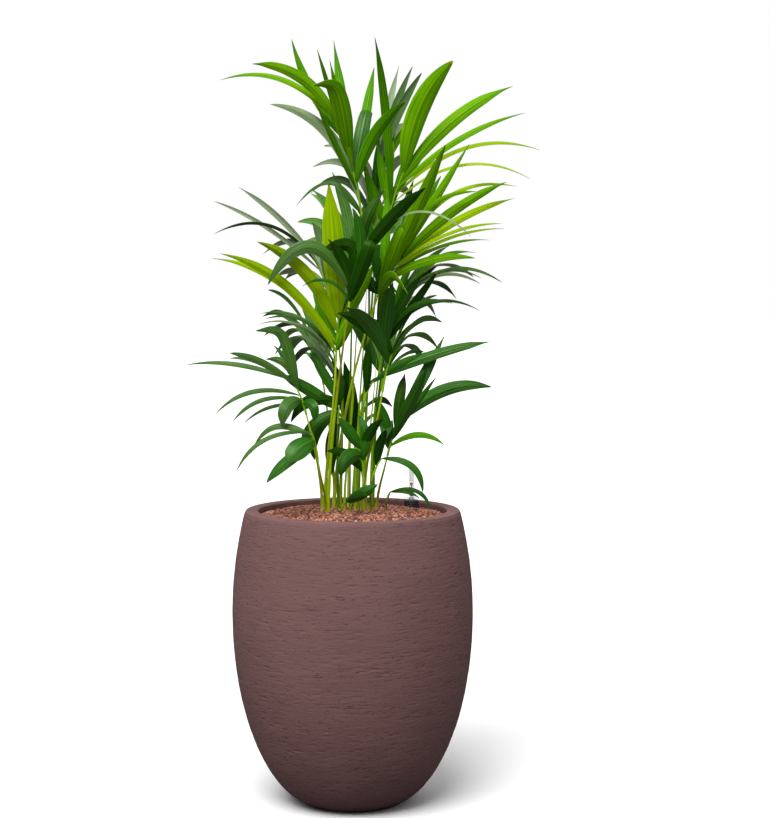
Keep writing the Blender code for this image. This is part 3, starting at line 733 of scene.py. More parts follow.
low, high = COLLAR[0].z, COLLAR[1].z
seat = high - SHOULDER
collar_line = [(0.0, seat), (TUBE_RADIUS + COLLAR_MOUTH, seat), (COLLAR_RADIUS - SHOULDER_ROUND, seat)]
collar_line += arc((COLLAR_RADIUS - COLLAR_ROUND, seat - COLLAR_ROUND), COLLAR_ROUND, 90, 0, 5)
for ridge in range(1, COLLAR_RIDGES + 1):
    level = low + (seat - low) * (1 - ridge / (COLLAR_RIDGES + 1))
    collar_line += [(COLLAR_RADIUS, level + RIDGE_HALF), (COLLAR_RADIUS - RIDGE_DEPTH, level)]
    collar_line += [(COLLAR_RADIUS, level - RIDGE_HALF)]
collar_line += [(COLLAR_RADIUS, low), (0.0, low)]
collar = gauge_piece("gauge_collar_body", collar_line, COLLAR_SIDES)

mouth = TUBE_RADIUS + SHOULDER_GAP
shoulder_line = [(mouth, seat + SHOULDER_SEAT), (mouth, high - SHOULDER_LIP)]
shoulder_line += arc((mouth + SHOULDER_LIP, high - SHOULDER_LIP), SHOULDER_LIP, 180, 90, 4)
shoulder_line += arc((COLLAR_RADIUS - SHOULDER_ROUND, high - SHOULDER_ROUND), SHOULDER_ROUND, 90, 0, 6)
shoulder_line += [(COLLAR_RADIUS, seat + SHOULDER_SEAT), (mouth, seat + SHOULDER_SEAT)]
shoulder = gauge_piece("gauge_shoulder", shoulder_line, COLLAR_SIDES)

foot, top = seat + TUBE_SEAT, TUBE[1].z
bore_radius = TUBE_RADIUS - TUBE_WALL
tube_line = [(0.0, top)] + arc((TUBE_RADIUS - TUBE_ROUND, top - TUBE_ROUND), TUBE_ROUND, 90, 0, 4)
tube_line += [(TUBE_RADIUS, foot), (0.0, foot)]
tube = gauge_piece("gauge_tube_wall", tube_line, PIPE_SIDES)
bore_line = [(0.0, top - TUBE_CROWN), (bore_radius, top - TUBE_CROWN - TUBE_SLOPE)]
bore_line += [(bore_radius, foot + TUBE_FLOOR), (0.0, foot + TUBE_FLOOR)]
bore = gauge_piece("gauge_bore", bore_line, PIPE_SIDES)
edit(bore)
bpy.ops.mesh.normals_make_consistent(inside=True)
bpy.ops.object.mode_set(mode="OBJECT")
tube = done(joined([tube, bore]), "gauge_tube_wall", GAUGE_SMOOTH)

float_line = [(0.0, top - FLOAT_TOP), (FLOAT_RADIUS, top - FLOAT_TOP - FLOAT_RADIUS)]
float_line += [(FLOAT_RADIUS, foot + FLOAT_FOOT), (0.0, foot + FLOAT_FOOT - FLOAT_RADIUS / 2)]
float_rod = gauge_piece("gauge_float", float_line, FLOAT_SIDES)
yellow_mark = gauge_piece("gauge_mark", band_line(*YELLOW_BAND), BAND_SIDES)
red_end = gauge_piece("gauge_float_end", band_line(*RED_BAND), BAND_SIDES)
print("The tube stands", round(top - low, 4), "m over the granules")

# %% Finish the gauge
PLASTIC_RELIEF = 0.00003
dark_plastic = speckled_finish(
    "dark plastic", (0.022, 0.018, 0.022), (0.045, 0.038, 0.044), 1500.0, 2 * PLASTIC_RELIEF, 0.38,
    amount=0.5,
)
clear_plastic = speckled_finish(
    "clear plastic", (0.93, 0.94, 0.96), (0.86, 0.88, 0.91), 300.0, PLASTIC_RELIEF, 0.12,
    Transmission_Weight=0.85, IOR=1.46, Alpha=0.24,
)
float_white = speckled_finish(
    "float white", (0.72, 0.71, 0.73), (0.62, 0.61, 0.64), 900.0, PLASTIC_RELIEF, 0.5,
)
mark_yellow = speckled_finish(
    "mark yellow", (0.78, 0.52, 0.10), (0.66, 0.42, 0.08), 1200.0, PLASTIC_RELIEF, 0.5,
)
float_red = speckled_finish(
    "float red", (0.48, 0.035, 0.020), (0.36, 0.030, 0.020), 1200.0, PLASTIC_RELIEF, 0.45,
)
gauge_finishes = (
    (collar, dark_plastic), (shoulder, clear_plastic), (tube, clear_plastic),
    (float_rod, float_white), (yellow_mark, mark_yellow), (red_end, float_red),
)
for piece, finish in gauge_finishes:
    finish_with(piece, finish)
settle(collar, "gauge_collar", "gauge_collar")
settle(shoulder, "gauge_tube")
settle(tube, "gauge_tube", "gauge_tube")
for piece in (float_rod, yellow_mark, red_end):
    settle(piece, "gauge_tube")

# %% [markdown]
# ## How the palm grows
#
# Each frond has a stalk from the granules to its crown, a rib that goes on from there, and leaflets along
# the rib. The same few numbers that grew the plain model are written here again, so that the finer leaflets
# lie where the plain blades lie: fan() spreads leaflets along a rib, folded() makes one that breaks and
# hangs over.

# %% The rule's sizes
STALK_TIP_RADIUS = 0.0021
RIB_TIP_RADIUS = 0.0010
STALK_SPANS = 5
RIB_SPANS = 4
FOOT_LEAN = 0.3
RIB_RISE = 0.6
RIB_NOD = 0.35
NECK = 0.004
GRANULE_TOP = 0.482
GAP = 0.0003
MIDRIB_STEPS = 24
FINE_STEPS = 96
FLAT_RISE = 0.08
STEEP_RISE = 0.20
ARCH_PEAK = 0.56
ARCH_WEIGHT = 1.0
FOLD_WEIGHT = 3.0
FOOT_SHARE = 0.015
SWELL = 0.72
TAPER = 0.74
RIDGE_SHARE = 0.10
THICKNESS_SHARE = 0.011
LEAST_THICKNESS = 0.0022
CLEAR_MARGIN = 0.0008
SWINGS = (0, 4, -4, 8, -8, 12, -12, 17, -17, 22, -22, 28, -28)
RISES = (1.0, 0.75, 1.3)
TUBE_SIDES = 6


def fan(count, along, bearing, lean, length, width, rise, face):
    """Leaflets side by side on a rib. Each pair gives the first and the last one's value.

    along: place on the rib, from 0 to 1. bearing: degrees up from +X, seen from the front.
    lean: degrees towards the front. length: from its foot straight to its tip, in metres.
    rise: how high it arches over that line, as a share of it. width: at its widest, in metres.
    face: degrees that its upper side turns from the front up to the sky and over to the back.
    """
    values = (along, bearing, lean, length, width, rise, face)
    pairs = [value if isinstance(value, tuple) else (value, value) for value in values]
    leaflets = []
    for index in range(count):
        share = index / (count - 1) if count > 1 else 0.0
        leaflets.append([first + (last - first) * share for first, last in pairs] + [None])
    return leaflets


def folded(along, bearing, lean, length, width, face, over):
    """One leaflet that stands straight for a length and is then folded over.

    over: the bearing, the lean and the length of the part that hangs past the fold.
    """
    return [[along, bearing, lean, length, width, 0.0, face, over]]


# Each frond: its foot on the granules, its rib's beginning and end, its foot's radius, its leaflets
FRONDS = {
    "crown_left": (
        (0.008, 0.030), (0.019, 0.020, 0.955), (-0.023, 0.020, 1.126), 0.0045,
        fan(2, (0.99, 0.92), (159, 144), (-8, 14), (0.212, 0.184), (0.013, 0.020), 0.17, (45, 30))
        + fan(2, (0.84, 0.76), (117, 107), (-16, 20), (0.200, 0.171), (0.015, 0.009), (-0.06, 0.0), 20)
        + folded(0.66, 98, 24, 0.134, 0.031, 10, (195, 20, 0.046))
        + fan(2, (0.56, 0.50), (98, 102), (-22, 12), (0.240, 0.191), (0.018, 0.012), 0.0, 10)
        + folded(0.50, 79, -20, 0.131, 0.025, 0, (275, -50, 0.050))
        + fan(2, (0.46, 0.40), (80, 58), (-24, 20), (0.213, 0.164), (0.018, 0.022), (0.0, 0.11), 10)
        + fan(2, (0.34, 0.22), (116, 132), (26, -18), (0.173, 0.237), (0.011, 0.020), (0.0, 0.17), 20)
        + fan(2, (0.12, 0.06), (128, 168), (10, -20), (0.065, 0.120), (0.013, 0.008), (0.0, 0.40), 40),
    ),
    "crown_right": (
        (0.018, 0.045), (0.053, 0.060, 0.935), (0.087, 0.060, 1.050), 0.0045,
        fan(2, (0.99, 0.86), (66, 40), (14, -10), (0.202, 0.254), (0.037, 0.024), (0.11, 0.08), 10)
        + fan(2, (0.74, 0.62), (30, 18), (14, -16), (0.247, 0.274), (0.015, 0.010), (0.07, 0.15), 45)
        + fan(1, 0.50, 10, 12, 0.235, 0.009, 0.18, 60)
        + fan(2, (0.45, 0.36), (96, 100), (16, -12), (0.286, 0.118), 0.016, (0.06, 0.0), 0)
        + fan(1, 0.12, 109, 10, 0.106, 0.016, 0.0, 0),
    ),
    "crown_back": (
        (0.005, 0.065), (0.038, 0.100, 0.940), (0.040, 0.100, 1.054), 0.0042,
        fan(3, (0.98, 0.70), (65, 79), (-10, -26), (0.190, 0.251), (0.018, 0.014), 0.04, 165)
        + fan(3, (0.45, 0.12), (130, 150), (-24, -50), (0.150, 0.200), (0.016, 0.014), 0.25, 130)
        + fan(3, (0.60, 0.15), (60, 35), (-44, -64), (0.210, 0.200), 0.018, 0.20, 125),
    ),
    "right_fan": (
        (-0.032, 0.044), (0.041, 0.000, 0.840), (0.079, 0.000, 0.903), 0.0048,
        folded(0.08, 71, 24, 0.130, 0.024, 0, (300, -78, 0.050))
        + folded(0.02, 62, 44, 0.064, 0.020, 15, (302, 24, 0.050))
        + fan(2, (0.25, 0.60), (66, 58), (22, -10), (0.264, 0.253), (0.022, 0.015), 0.0, 0)
        + fan(1, 0.50, 65, 6, 0.211, 0.020, 0.0, 0)
        + fan(2, (0.99, 0.80), (36, 29), (10, -18), (0.217, 0.246), (0.018, 0.014), 0.06, 15)
        + fan(2, (0.97, 0.92), (32, 42), (-16, 18), (0.243, 0.177), (0.009, 0.010), 0.19, 55)
        + fan(3, (0.66, 0.44), (23, 20), (22, -22), (0.206, 0.202), 0.008, 0.09, 50)
        + fan(1, 0.32, 15, 12, 0.158, 0.016, 0.10, 25),
    ),
    "centre_front": (
        (-0.041, 0.000), (-0.006, -0.060, 0.825), (0.012, -0.060, 0.903), 0.0046,
        fan(1, 0.30, 176, 12, 0.137, 0.023, 0.48, 25)
        + fan(1, 0.50, 140, 8, 0.072, 0.023, 0.57, 10)
        + folded(0.38, 83, -6, 0.105, 0.026, 0, (270, -60, 0.050))
        + folded(0.05, 71, 20, 0.117, 0.025, 0, (280, -78, 0.050))
        + fan(1, 0.08, 163, 6, 0.081, 0.007, 0.26, 50)
        + fan(2, (0.98, 0.85), (47, 46), (26, -4), (0.173, 0.187), (0.022, 0.016), 0.05, 15)
        + fan(1, 0.92, 13, 30, 0.207, 0.008, 0.28, 70),
    ),
    "left_fan": (
        (-0.047, 0.032), (-0.027, -0.030, 0.736), (-0.022, -0.030, 0.809), 0.0046,
        fan(2, (0.15, 0.35), (139, 146), (16, -14), (0.255, 0.259), (0.017, 0.013), 0.12, 20)
        + fan(1, 0.62, 131, 18, 0.205, 0.022, 0.13, 5)
        + fan(1, 0.95, 94, 8, 0.222, 0.037, 0.0, 0)
        + fan(2, (0.20, 0.60), (66, 62), (20, -16), (0.079, 0.137), (0.018, 0.020), 0.0, 0),
    ),
    "back_left": (
        (-0.020, 0.060), (-0.028, 0.060, 0.790), (-0.062, 0.060, 0.905), 0.0042,
        fan(2, (0.98, 0.80), (137, 147), (-8, -24), (0.181, 0.242), (0.011, 0.009), 0.05, 150)
        + fan(2, (0.88, 0.60), (163, 155), (12, -30), (0.184, 0.138), (0.010, 0.012), (0.22, 0.33), 110)
        + fan(1, 0.55, 143, 6, 0.055, 0.014, 0.05, 20)
        + fan(2, (0.40, 0.20), (160, 150), (-40, -58), (0.130, 0.190), 0.017, 0.20, 115)
        + fan(2, (0.50, 0.25), (104, 112), (-36, -56), (0.150, 0.190), 0.019, 0.18, 150),
    ),
    "left_rear_low": (
        (-0.044, 0.056), (-0.026, 0.050, 0.688), (-0.033, 0.050, 0.758), 0.0038,
        fan(2, (0.98, 0.80), (157, 151), (10, -6), (0.124, 0.141), 0.009, 0.18, 60)
        + fan(1, 0.60, 156, -16, 0.154, 0.007, 0.20, 60)
        + fan(3, (0.50, 0.15), (160, 175), (-42, -64), (0.180, 0.190), 0.018, 0.24, 105),
    ),
    "left_mid": (
        (-0.050, 0.012), (-0.075, -0.050, 0.650), (-0.099, -0.050, 0.707), 0.0040,
        fan(2, (0.99, 0.88), (172, 153), (-6, 24), (0.176, 0.125), (0.011, 0.014), 0.07, 40)
        + fan(1, 0.80, 139, -8, 0.066, 0.014, 0.25, 20)
        + folded(0.66, 102, 4, 0.106, 0.019, 0, (188, 10, 0.048))
        + fan(2, (0.50, 0.35), (192, 196), (8, 24), (0.141, 0.126), (0.011, 0.009), 0.16, 45)
        + fan(1, 0.22, 198, -12, 0.106, 0.009, 0.12, 50)
        + fan(2, (0.36, 0.28), (236, 300), (36, 30), (0.066, 0.040), (0.024, 0.018), (0.30, 0.42), 20),
    ),
    "left_inner": (
        (-0.024, 0.030), (-0.024, 0.000, 0.632), (-0.021, 0.000, 0.668), 0.0040,
        fan(2, (0.60, 0.95), (148, 121), (16, -10), (0.120, 0.100), (0.022, 0.017), 0.02, 15)
        + fan(2, (0.30, 0.50), (264, 244), (-10, 12), (0.105, 0.090), 0.022, (0.10, 0.22), 10)
        + fan(1, 0.80, 86, 20, 0.061, 0.014, 0.0, 0),
    ),
    "left_low": (
        (-0.044, -0.008), (-0.056, -0.080, 0.580), (-0.066, -0.085, 0.625), 0.0036,
        fan(2, (0.98, 0.75), (207, 195), (12, -12), (0.138, 0.108), (0.010, 0.015), (0.18, 0.30), 42)
        + fan(1, 0.50, 218, 6, 0.100, 0.023, 0.06, 30)
        + fan(1, 0.65, 219, 34, 0.068, 0.036, 0.10, 25),
    ),
    "right_low": (
        (0.040, 0.015), (0.057, -0.040, 0.582), (0.079, -0.040, 0.640), 0.0040,
        fan(2, (0.98, 0.80), (21, 62), (10, -12), (0.161, 0.172), (0.022, 0.020), (0.14, 0.0), 10)
        + fan(2, (0.60, 0.40), (55, 66), (22, 32), (0.125, 0.158), (0.010, 0.020), 0.0, 5)
        + fan(1, 0.20, 2, 8, 0.090, 0.012, 0.20, 40)
        + folded(0.12, 96, -20, 0.062, 0.024, 0, (272, 48, 0.060)),
    ),
    "right_blade": (
        (0.022, 0.010), (0.019, -0.020, 0.672), (0.039, -0.020, 0.708), 0.0036,
        fan(2, (0.98, 0.75), (18, 31), (4, 24), (0.198, 0.107), (0.019, 0.014), 0.04, 25)
        + fan(1, 0.20, 88, 8, 0.089, 0.016, 0.0, 0),
    ),
    "front_drape": (
        (0.014, 0.004), (0.048, -0.090, 0.690), (0.064, -0.100, 0.752), 0.0036,
        fan(2, (0.98, 0.70), (143, 127), (20, 34), (0.117, 0.139), (0.028, 0.024), 0.12, 20),
    ),
    "right_inner": (
        (0.030, 0.030), (0.043, 0.030, 0.705), (0.058, 0.030, 0.779), 0.0040,
        fan(1, 0.75, 54, 4, 0.152, 0.015, 0.0, 0)
        + fan(2, (0.90, 0.98), (28, 14), (16, -16), (0.129, 0.169), (0.010, 0.008), 0.20, 48)
        + fan(1, 0.55, 82, 22, 0.128, 0.027, 0.05, 0)
        + folded(0.60, 90, 6, 0.130, 0.016, 10, (304, 10, 0.050)),
    ),
    "back_right": (
        (0.034, 0.058), (0.060, 0.070, 0.770), (0.089, 0.070, 0.849), 0.0040,
        fan(2, (0.98, 0.90), (6, 9), (10, -6), (0.165, 0.133), 0.009, 0.19, 55)
        + fan(2, (0.80, 0.60), (15, 45), (-20, -34), (0.153, 0.133), (0.010, 0.012), (0.19, 0.05), 60)
        + fan(3, (0.65, 0.20), (20, 8), (-42, -64), 0.195, 0.018, 0.22, 105),
    ),
    "low_front": (
        (-0.004, -0.014), (0.018, -0.062, 0.545), (0.014, -0.066, 0.597), 0.0034,
        fan(1, 0.98, 125, 6, 0.063, 0.020, 0.0, 0)
        + fan(1, 0.75, 225, 36, 0.060, 0.028, 0.30, 15)
        + fan(1, 0.80, 60, 16, 0.070, 0.018, 0.10, 0),
    ),
    "low_right": (
        (0.030, -0.012), (0.034, -0.056, 0.552), (0.048, -0.060, 0.580), 0.0032,
        fan(1, 0.98, 320, 6, 0.087, 0.014, 0.25, 40)
        + fan(1, 0.40, 75, 20, 0.070, 0.016, 0.10, 0),
    ),
    "rear_high": (
        (-0.006, 0.078), (0.000, 0.130, 0.830), (0.004, 0.160, 0.900), 0.0042,
        fan(4, (0.98, 0.30), (104, 150), (-24, -52), (0.180, 0.200), 0.020, (0.08, 0.24), 145)
        + fan(4, (0.90, 0.20), (72, 26), (-28, -52), (0.190, 0.200), 0.020, (0.08, 0.24), 145),
    ),
    "rear_left": (
        (-0.030, 0.078), (-0.050, 0.125, 0.690), (-0.065, 0.165, 0.740), 0.0040,
        fan(4, (0.98, 0.30), (128, 180), (-42, -66), (0.190, 0.200), 0.018, (0.14, 0.28), 115)
        + fan(3, (0.90, 0.20), (84, 50), (-50, -70), 0.170, 0.019, (0.14, 0.26), 135),
    ),
    "rear_right": (
        (0.018, 0.075), (0.048, 0.125, 0.680), (0.066, 0.165, 0.730), 0.0040,
        fan(4, (0.98, 0.30), (52, 0), (-42, -64), 0.190, 0.018, (0.14, 0.28), 115)
        + fan(3, (0.90, 0.20), (96, 130), (-50, -70), 0.170, 0.019, (0.14, 0.26), 135),
    ),
    "rear_low": (
        (0.000, 0.092), (0.004, 0.130, 0.580), (0.004, 0.160, 0.620), 0.0036,
        fan(3, (0.98, 0.30), (120, 185), (-52, -62), 0.140, 0.018, (0.16, 0.30), 115)
        + fan(3, (0.90, 0.20), (60, -5), (-52, -62), 0.140, 0.018, (0.16, 0.30), 115),
    ),
    "seedling_right": (
        (0.056, 0.014), (0.058, -0.015, 0.510), (0.064, -0.025, 0.522), 0.0020,
        fan(2, (0.98, 0.70), (335, 349), (4, 14), (0.072, 0.051), 0.009, (0.25, 0.12), 45),
    ),
    "seedling_front": (
        (-0.022, -0.012), (-0.016, -0.050, 0.500), (-0.010, -0.055, 0.508), 0.0020,
        fan(2, (0.98, 0.50), (31, 20), (4, 34), (0.062, 0.050), (0.020, 0.012), (0.0, 0.15), (0, 50)),
    ),
}

# %% Lines, sections and skins
def curve_points(start, start_pull, end, end_pull, spans):
    """Points of a smooth curve that leaves one end and meets the other along their pulls."""
    points = []
    for step in range(spans + 1):
        t = step / spans
        points.append(
            start * (2 * t**3 - 3 * t**2 + 1)
            + start_pull * (t**3 - 2 * t**2 + t)
            + end * (3 * t**2 - 2 * t**3)
            + end_pull * (t**3 - t**2)
        )
    return points


def rib_heading(crown, end):
    """The direction in which a rib sets out: steeper than the straight line to its end."""
    return ((end - crown).normalized() + UP * RIB_RISE).normalized()


def stalk_points(foot, crown, end, spans=STALK_SPANS):
    """The line of a stalk: upright out of the granules, then bent to its rib's direction."""
    start = Vector((foot[0], foot[1], GRANULE_TOP + GAP))
    ankle = start + UP * NECK
    heading = rib_heading(crown, end)
    finish = crown - heading * GAP
    neck = finish - heading * NECK
    span = (neck - ankle).length
    setting_out = UP * span + Vector((neck.x - ankle.x, neck.y - ankle.y, 0.0)) * FOOT_LEAN
    bend = curve_points(ankle, setting_out, neck, heading * span, spans)
    return [start] + bend + [finish]


def rib_points(crown, end, spans=RIB_SPANS):
    """The line of the rib that carries the leaflets: a straight neck, then an arch that nods."""
    heading = rib_heading(crown, end)
    neck = crown + heading * NECK
    chord = end - neck
    arriving = (chord.normalized() - UP * RIB_NOD).normalized() * chord.length
    return [crown] + curve_points(neck, heading * chord.length, end, arriving, spans)


def direction(bearing, lean):
    """The unit vector at a bearing seen from the front and a lean towards the front, in degrees."""
    turn, out = math.radians(bearing), math.radians(lean)
    return Vector((math.cos(turn) * math.cos(out), -math.sin(out), math.sin(turn) * math.cos(out)))


def midrib(start, leaflet, swing, rise_share, steps=MIDRIB_STEPS):
    """The line of a leaflet's midrib, an arch or a fold, as points at equal steps along it."""
    _, bearing, lean, length, _, rise, _, over = leaflet
    heading = direction(bearing, lean + swing)
    if over:
        corner = start + heading * length
        tip = corner + direction(over[0], over[1] + swing) * over[2]
        weight = FOLD_WEIGHT
    else:
        lift = (UP - heading * heading.z).normalized()
        corner = start + heading * (length * ARCH_PEAK) + lift * (2 * rise * rise_share * length)
        tip = start + heading * length
        weight = ARCH_WEIGHT
    fine = []
    for step in range(FINE_STEPS + 1):
        t = step / FINE_STEPS
        shares = ((1 - t) ** 2, 2 * weight * t * (1 - t), t**2)
        fine.append((start * shares[0] + corner * shares[1] + tip * shares[2]) / sum(shares))
    return even_steps(fine, steps)


def even_steps(line, count):
    """The points at equal distances along a line of finer points."""
    reached = [0.0]
    for before, after in zip(line, line[1:]):
        reached.append(reached[-1] + (after - before).length)
    points = [line[0]]
    index = 0
    for step in range(1, count):
        wanted = reached[-1] * step / count
        while reached[index + 1] < wanted:
            index += 1
        share = (wanted - reached[index]) / (reached[index + 1] - reached[index])
        points.append(line[index].lerp(line[index + 1], share))
    return points + [line[-1]]


def outline(share):
    """A leaflet's width along its length, as a share of its widest: a lance with a long point."""
    def lance(place):
        return (place + FOOT_SHARE) ** SWELL * (1.0 - place) ** TAPER

    return lance(share) / lance((SWELL - TAPER * FOOT_SHARE) / (SWELL + TAPER))


def kept_steps(leaflet):
    """The steps of a midrib that get a section: more where it bends further."""
    _, _, _, length, _, rise, _, over = leaflet
    if over:
        fold = round(MIDRIB_STEPS * length / (length + over[2]))
        return [0, fold // 2, fold - 3, fold, fold + 2, (fold + 2 + MIDRIB_STEPS) // 2]
    spans = 4 if abs(rise) < FLAT_RISE else 5 if rise < STEEP_RISE else 6
    return [round(MIDRIB_STEPS * index / spans) for index in range(spans)]


def blade_rings(points, leaflet, grow=0.0):
    """Three-cornered sections along a leaflet's midrib, with a ridge on top, and the tip's point."""
    _, _, _, _, width, _, face, _ = leaflet
    turn = math.radians(face)
    facing = Vector((0.0, -math.cos(turn), math.sin(turn)))
    length = (points[1] - points[0]).length * MIDRIB_STEPS
    thickness = max(LEAST_THICKNESS, THICKNESS_SHARE * length)
    kept = kept_steps(leaflet)
    across = (points[1] - points[0]).cross(facing).normalized()
    rings = []
    for index in range(MIDRIB_STEPS):
        along = (points[index + 1] - points[max(index - 1, 0)]).normalized()
        across = (across - along * across.dot(along)).normalized()
        if index not in kept:
            continue
        upper = across.cross(along).normalized()
        half = 0.5 * width * outline(index / MIDRIB_STEPS)
        ridge = thickness + RIDGE_SHARE * 2 * half
        under = points[index] - upper * grow
        rings.append([
            under - across * (half + grow),
            under + across * (half + grow),
            points[index] + upper * (ridge + grow),
        ])
    return rings, points[-1]


def tube_rings(points, first, last):
    """Round sections along a line, tapering from one radius to another, and the end's point."""
    rings = []
    side = Vector((1.0, 0.0, 0.0))
    for index, middle in enumerate(points):
        after = points[min(index + 1, len(points) - 1)]
        before = points[max(index - 1, 0)]
        along = (after - before).normalized()
        side = (side - along * side.dot(along)).normalized()
        other = along.cross(side)
        radius = first + (last - first) * index / (len(points) - 1)
        ring = []
        for corner in range(TUBE_SIDES):
            turn = 2 * math.pi * corner / TUBE_SIDES
            ring.append(middle + (side * math.cos(turn) + other * math.sin(turn)) * radius)
        rings.append(ring)
    return rings, points[-1]


def skin(rings, tip):
    """Corners and faces of a closed skin over sections that ends in a point."""
    sides = len(rings[0])
    corners = [corner for ring in rings for corner in ring] + [tip]
    faces = [tuple(range(sides))[::-1]]
    for row in range(len(rings) - 1):
        for side in range(sides):
            low, low_next = row * sides + side, row * sides + (side + 1) % sides
            faces.append((low, low_next, low_next + sides))
            faces.append((low, low_next + sides, low + sides))
    last = (len(rings) - 1) * sides
    for side in range(sides):
        faces.append((last + side, last + (side + 1) % sides, len(corners) - 1))
    return corners, faces

# %% Where a leaflet fits
def fitted(start, leaflet, frond):
    """The swing and the rise with which a leaflet clears every other limb, or None where it can't."""
    for rise_share in RISES:
        for swing in SWINGS:
            points = midrib(start, leaflet, swing, rise_share)
            tree = BVHTree.FromPolygons(*skin(*blade_rings(points, leaflet, CLEAR_MARGIN)))
            if not any(owner != frond and tree.overlap(other) for owner, other in placed):
                return swing, rise_share
    return None


def node_tree(name):
    """A node of the plain model as a shape that other shapes can be tested against."""
    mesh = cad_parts[name].data
    corners = [corner.co for corner in mesh.vertices]
    return BVHTree.FromPolygons(corners, [face.vertices for face in mesh.polygons])


placed = [(name, node_tree(name)) for name in ("planter", "granule_fill", "gauge_collar", "gauge_tube")]
ribs = {}
for name, (foot, crown, end, radius, _) in FRONDS.items():
    crown, end = Vector(crown), Vector(end)
    stalk_skin = skin(*tube_rings(stalk_points(foot, crown, end), radius, STALK_TIP_RADIUS))
    placed.append((f"stalk_{name}", BVHTree.FromPolygons(*stalk_skin)))
    ribs[name] = rib_points(crown, end)
    rib_skin = skin(*tube_rings(ribs[name], STALK_TIP_RADIUS, RIB_TIP_RADIUS))
    placed.append((name, BVHTree.FromPolygons(*rib_skin)))

LEAFLETS = {name: [] for name in FRONDS}


def place_leaflets(name, leaflets):
    """Keeps the leaflets of a frond that find a clear place, in their order."""
    for leaflet in leaflets:
        span = min(int(leaflet[0] * RIB_SPANS), RIB_SPANS - 1)
        start = ribs[name][span + 1].lerp(ribs[name][span + 2], leaflet[0] * RIB_SPANS - span)
        fit = fitted(start, leaflet, name)
        if fit:
            strip = skin(*blade_rings(midrib(start, leaflet, *fit), leaflet))
            placed.append((name, BVHTree.FromPolygons(*strip)))
            LEAFLETS[name].append((start, leaflet, fit))


for name, (_, _, _, _, leaflets) in FRONDS.items():
    place_leaflets(name, leaflets)
print(sum(len(rows) for rows in LEAFLETS.values()), "leaflets keep clear of each other")

# %% [markdown]
# ## Spears and inner leaflets
#
# The plain model has the limbs that show. A living clump is denser inside: each plant pushes up a spear,
# its next frond still rolled into a point, and shorter leaflets fill the heart of the clump and darken it.
# They are grown by the same rule after all the others, within the clump's reach, and only where there is
# room.

# %% Fill the heart of the clump
SPEAR_RADIUS = 0.0022
SPEAR_TURNS = 12
SPEAR_SWAY = 0.012
SPEARS = (
    ((-0.036, 0.020), (-0.030, 0.010, 0.780)), ((0.004, 0.018), (0.012, 0.022, 0.860)),
    ((0.028, 0.030), (0.040, 0.028, 0.800)), ((-0.008, 0.050), (0.002, 0.060, 0.900)),
    ((0.010, -0.006), (0.004, -0.020, 0.640)), ((-0.014, 0.010), (-0.008, -0.004, 0.700)),
    ((0.020, 0.022), (0.028, 0.006, 0.740)), ((-0.030, 0.040), (-0.040, 0.030, 0.720)),
)
INNER = {
    "centre_front": fan(3, (0.20, 0.90), (112, 70), (10, -10), (0.10, 0.13), 0.020, 0.10, 5),
    "right_fan": fan(4, (0.10, 0.80), (100, 62), (-10, -30), (0.13, 0.20), 0.017, 0.02, 0)
    + fan(2, (0.0, 0.03), (112, 134), (-20, -30), (0.080, 0.070), 0.022, 0.03, 5),
    "right_inner": fan(3, (0.10, 0.90), (120, 60), (-20, 10), (0.11, 0.13), 0.018, 0.05, 5),
    "back_right": fan(3, (0.20, 0.90), (70, 30), (-10, -30), (0.14, 0.17), 0.013, (0.05, 0.15), 40),
    "left_fan": fan(2, (0.30, 0.80), (112, 75), (-20, -30), (0.12, 0.16), 0.018, 0.0, 0),
    "left_inner": fan(3, (0.20, 0.90), (262, 200), (-10, 20), (0.10, 0.09), 0.022, (0.10, 0.25), 10),
    "crown_back": fan(4, (0.10, 0.80), (100, 60), (5, -20), (0.12, 0.16), 0.012, 0.03, 0),
    "crown_right": fan(3, (0.15, 0.60), (85, 55), (-10, -30), (0.15, 0.20), 0.014, 0.03, 10),
    "low_front": fan(3, (0.20, 0.90), (150, 40), (10, -20), (0.07, 0.08), 0.018, 0.15, 10),
    "right_low": fan(2, (0.30, 0.70), (110, 80), (0, -20), (0.08, 0.10), 0.018, 0.05, 5),
    "left_mid": fan(2, (0.90, 0.60), (160, 120), (-20, -30), (0.12, 0.10), 0.012, 0.10, 40),
    "rear_high": fan(4, (0.95, 0.25), (120, 60), (-20, -40), (0.16, 0.15), 0.018, 0.10, 150),
    "rear_left": fan(3, (0.80, 0.20), (110, 150), (-30, -50), (0.15, 0.14), 0.017, 0.14, 120),
    "rear_right": fan(3, (0.80, 0.20), (70, 30), (-30, -50), (0.15, 0.14), 0.017, 0.14, 120),
    "rear_low": fan(2, (0.05, 0.30), (105, 98), (10, 0), (0.155, 0.135), 0.024, 0.02, 5),
}


def spear_line(foot, tip, turn):
    """The line of a spear, its tip swayed towards one side."""
    start = Vector((*foot, GRANULE_TOP + GAP))
    end = Vector(tip) + Vector((math.cos(turn), math.sin(turn), 0.0)) * SPEAR_SWAY
    height = end.z - start.z
    return curve_points(start, UP * height, end, (end - start + UP * height * 0.2), STALK_SPANS)


def place_spear(foot, tip):
    """The first sway of a spear that clears every limb, or None where it can't."""
    for step in range(SPEAR_TURNS):
        line = spear_line(foot, tip, 2 * math.pi * step / SPEAR_TURNS)
        tree = BVHTree.FromPolygons(*skin(*tube_rings(line, SPEAR_RADIUS + CLEAR_MARGIN, CLEAR_MARGIN)))
        if not any(tree.overlap(other) for owner, other in placed if owner != "granule_fill"):
            placed.append(("spear", tree))
            return step
    return None


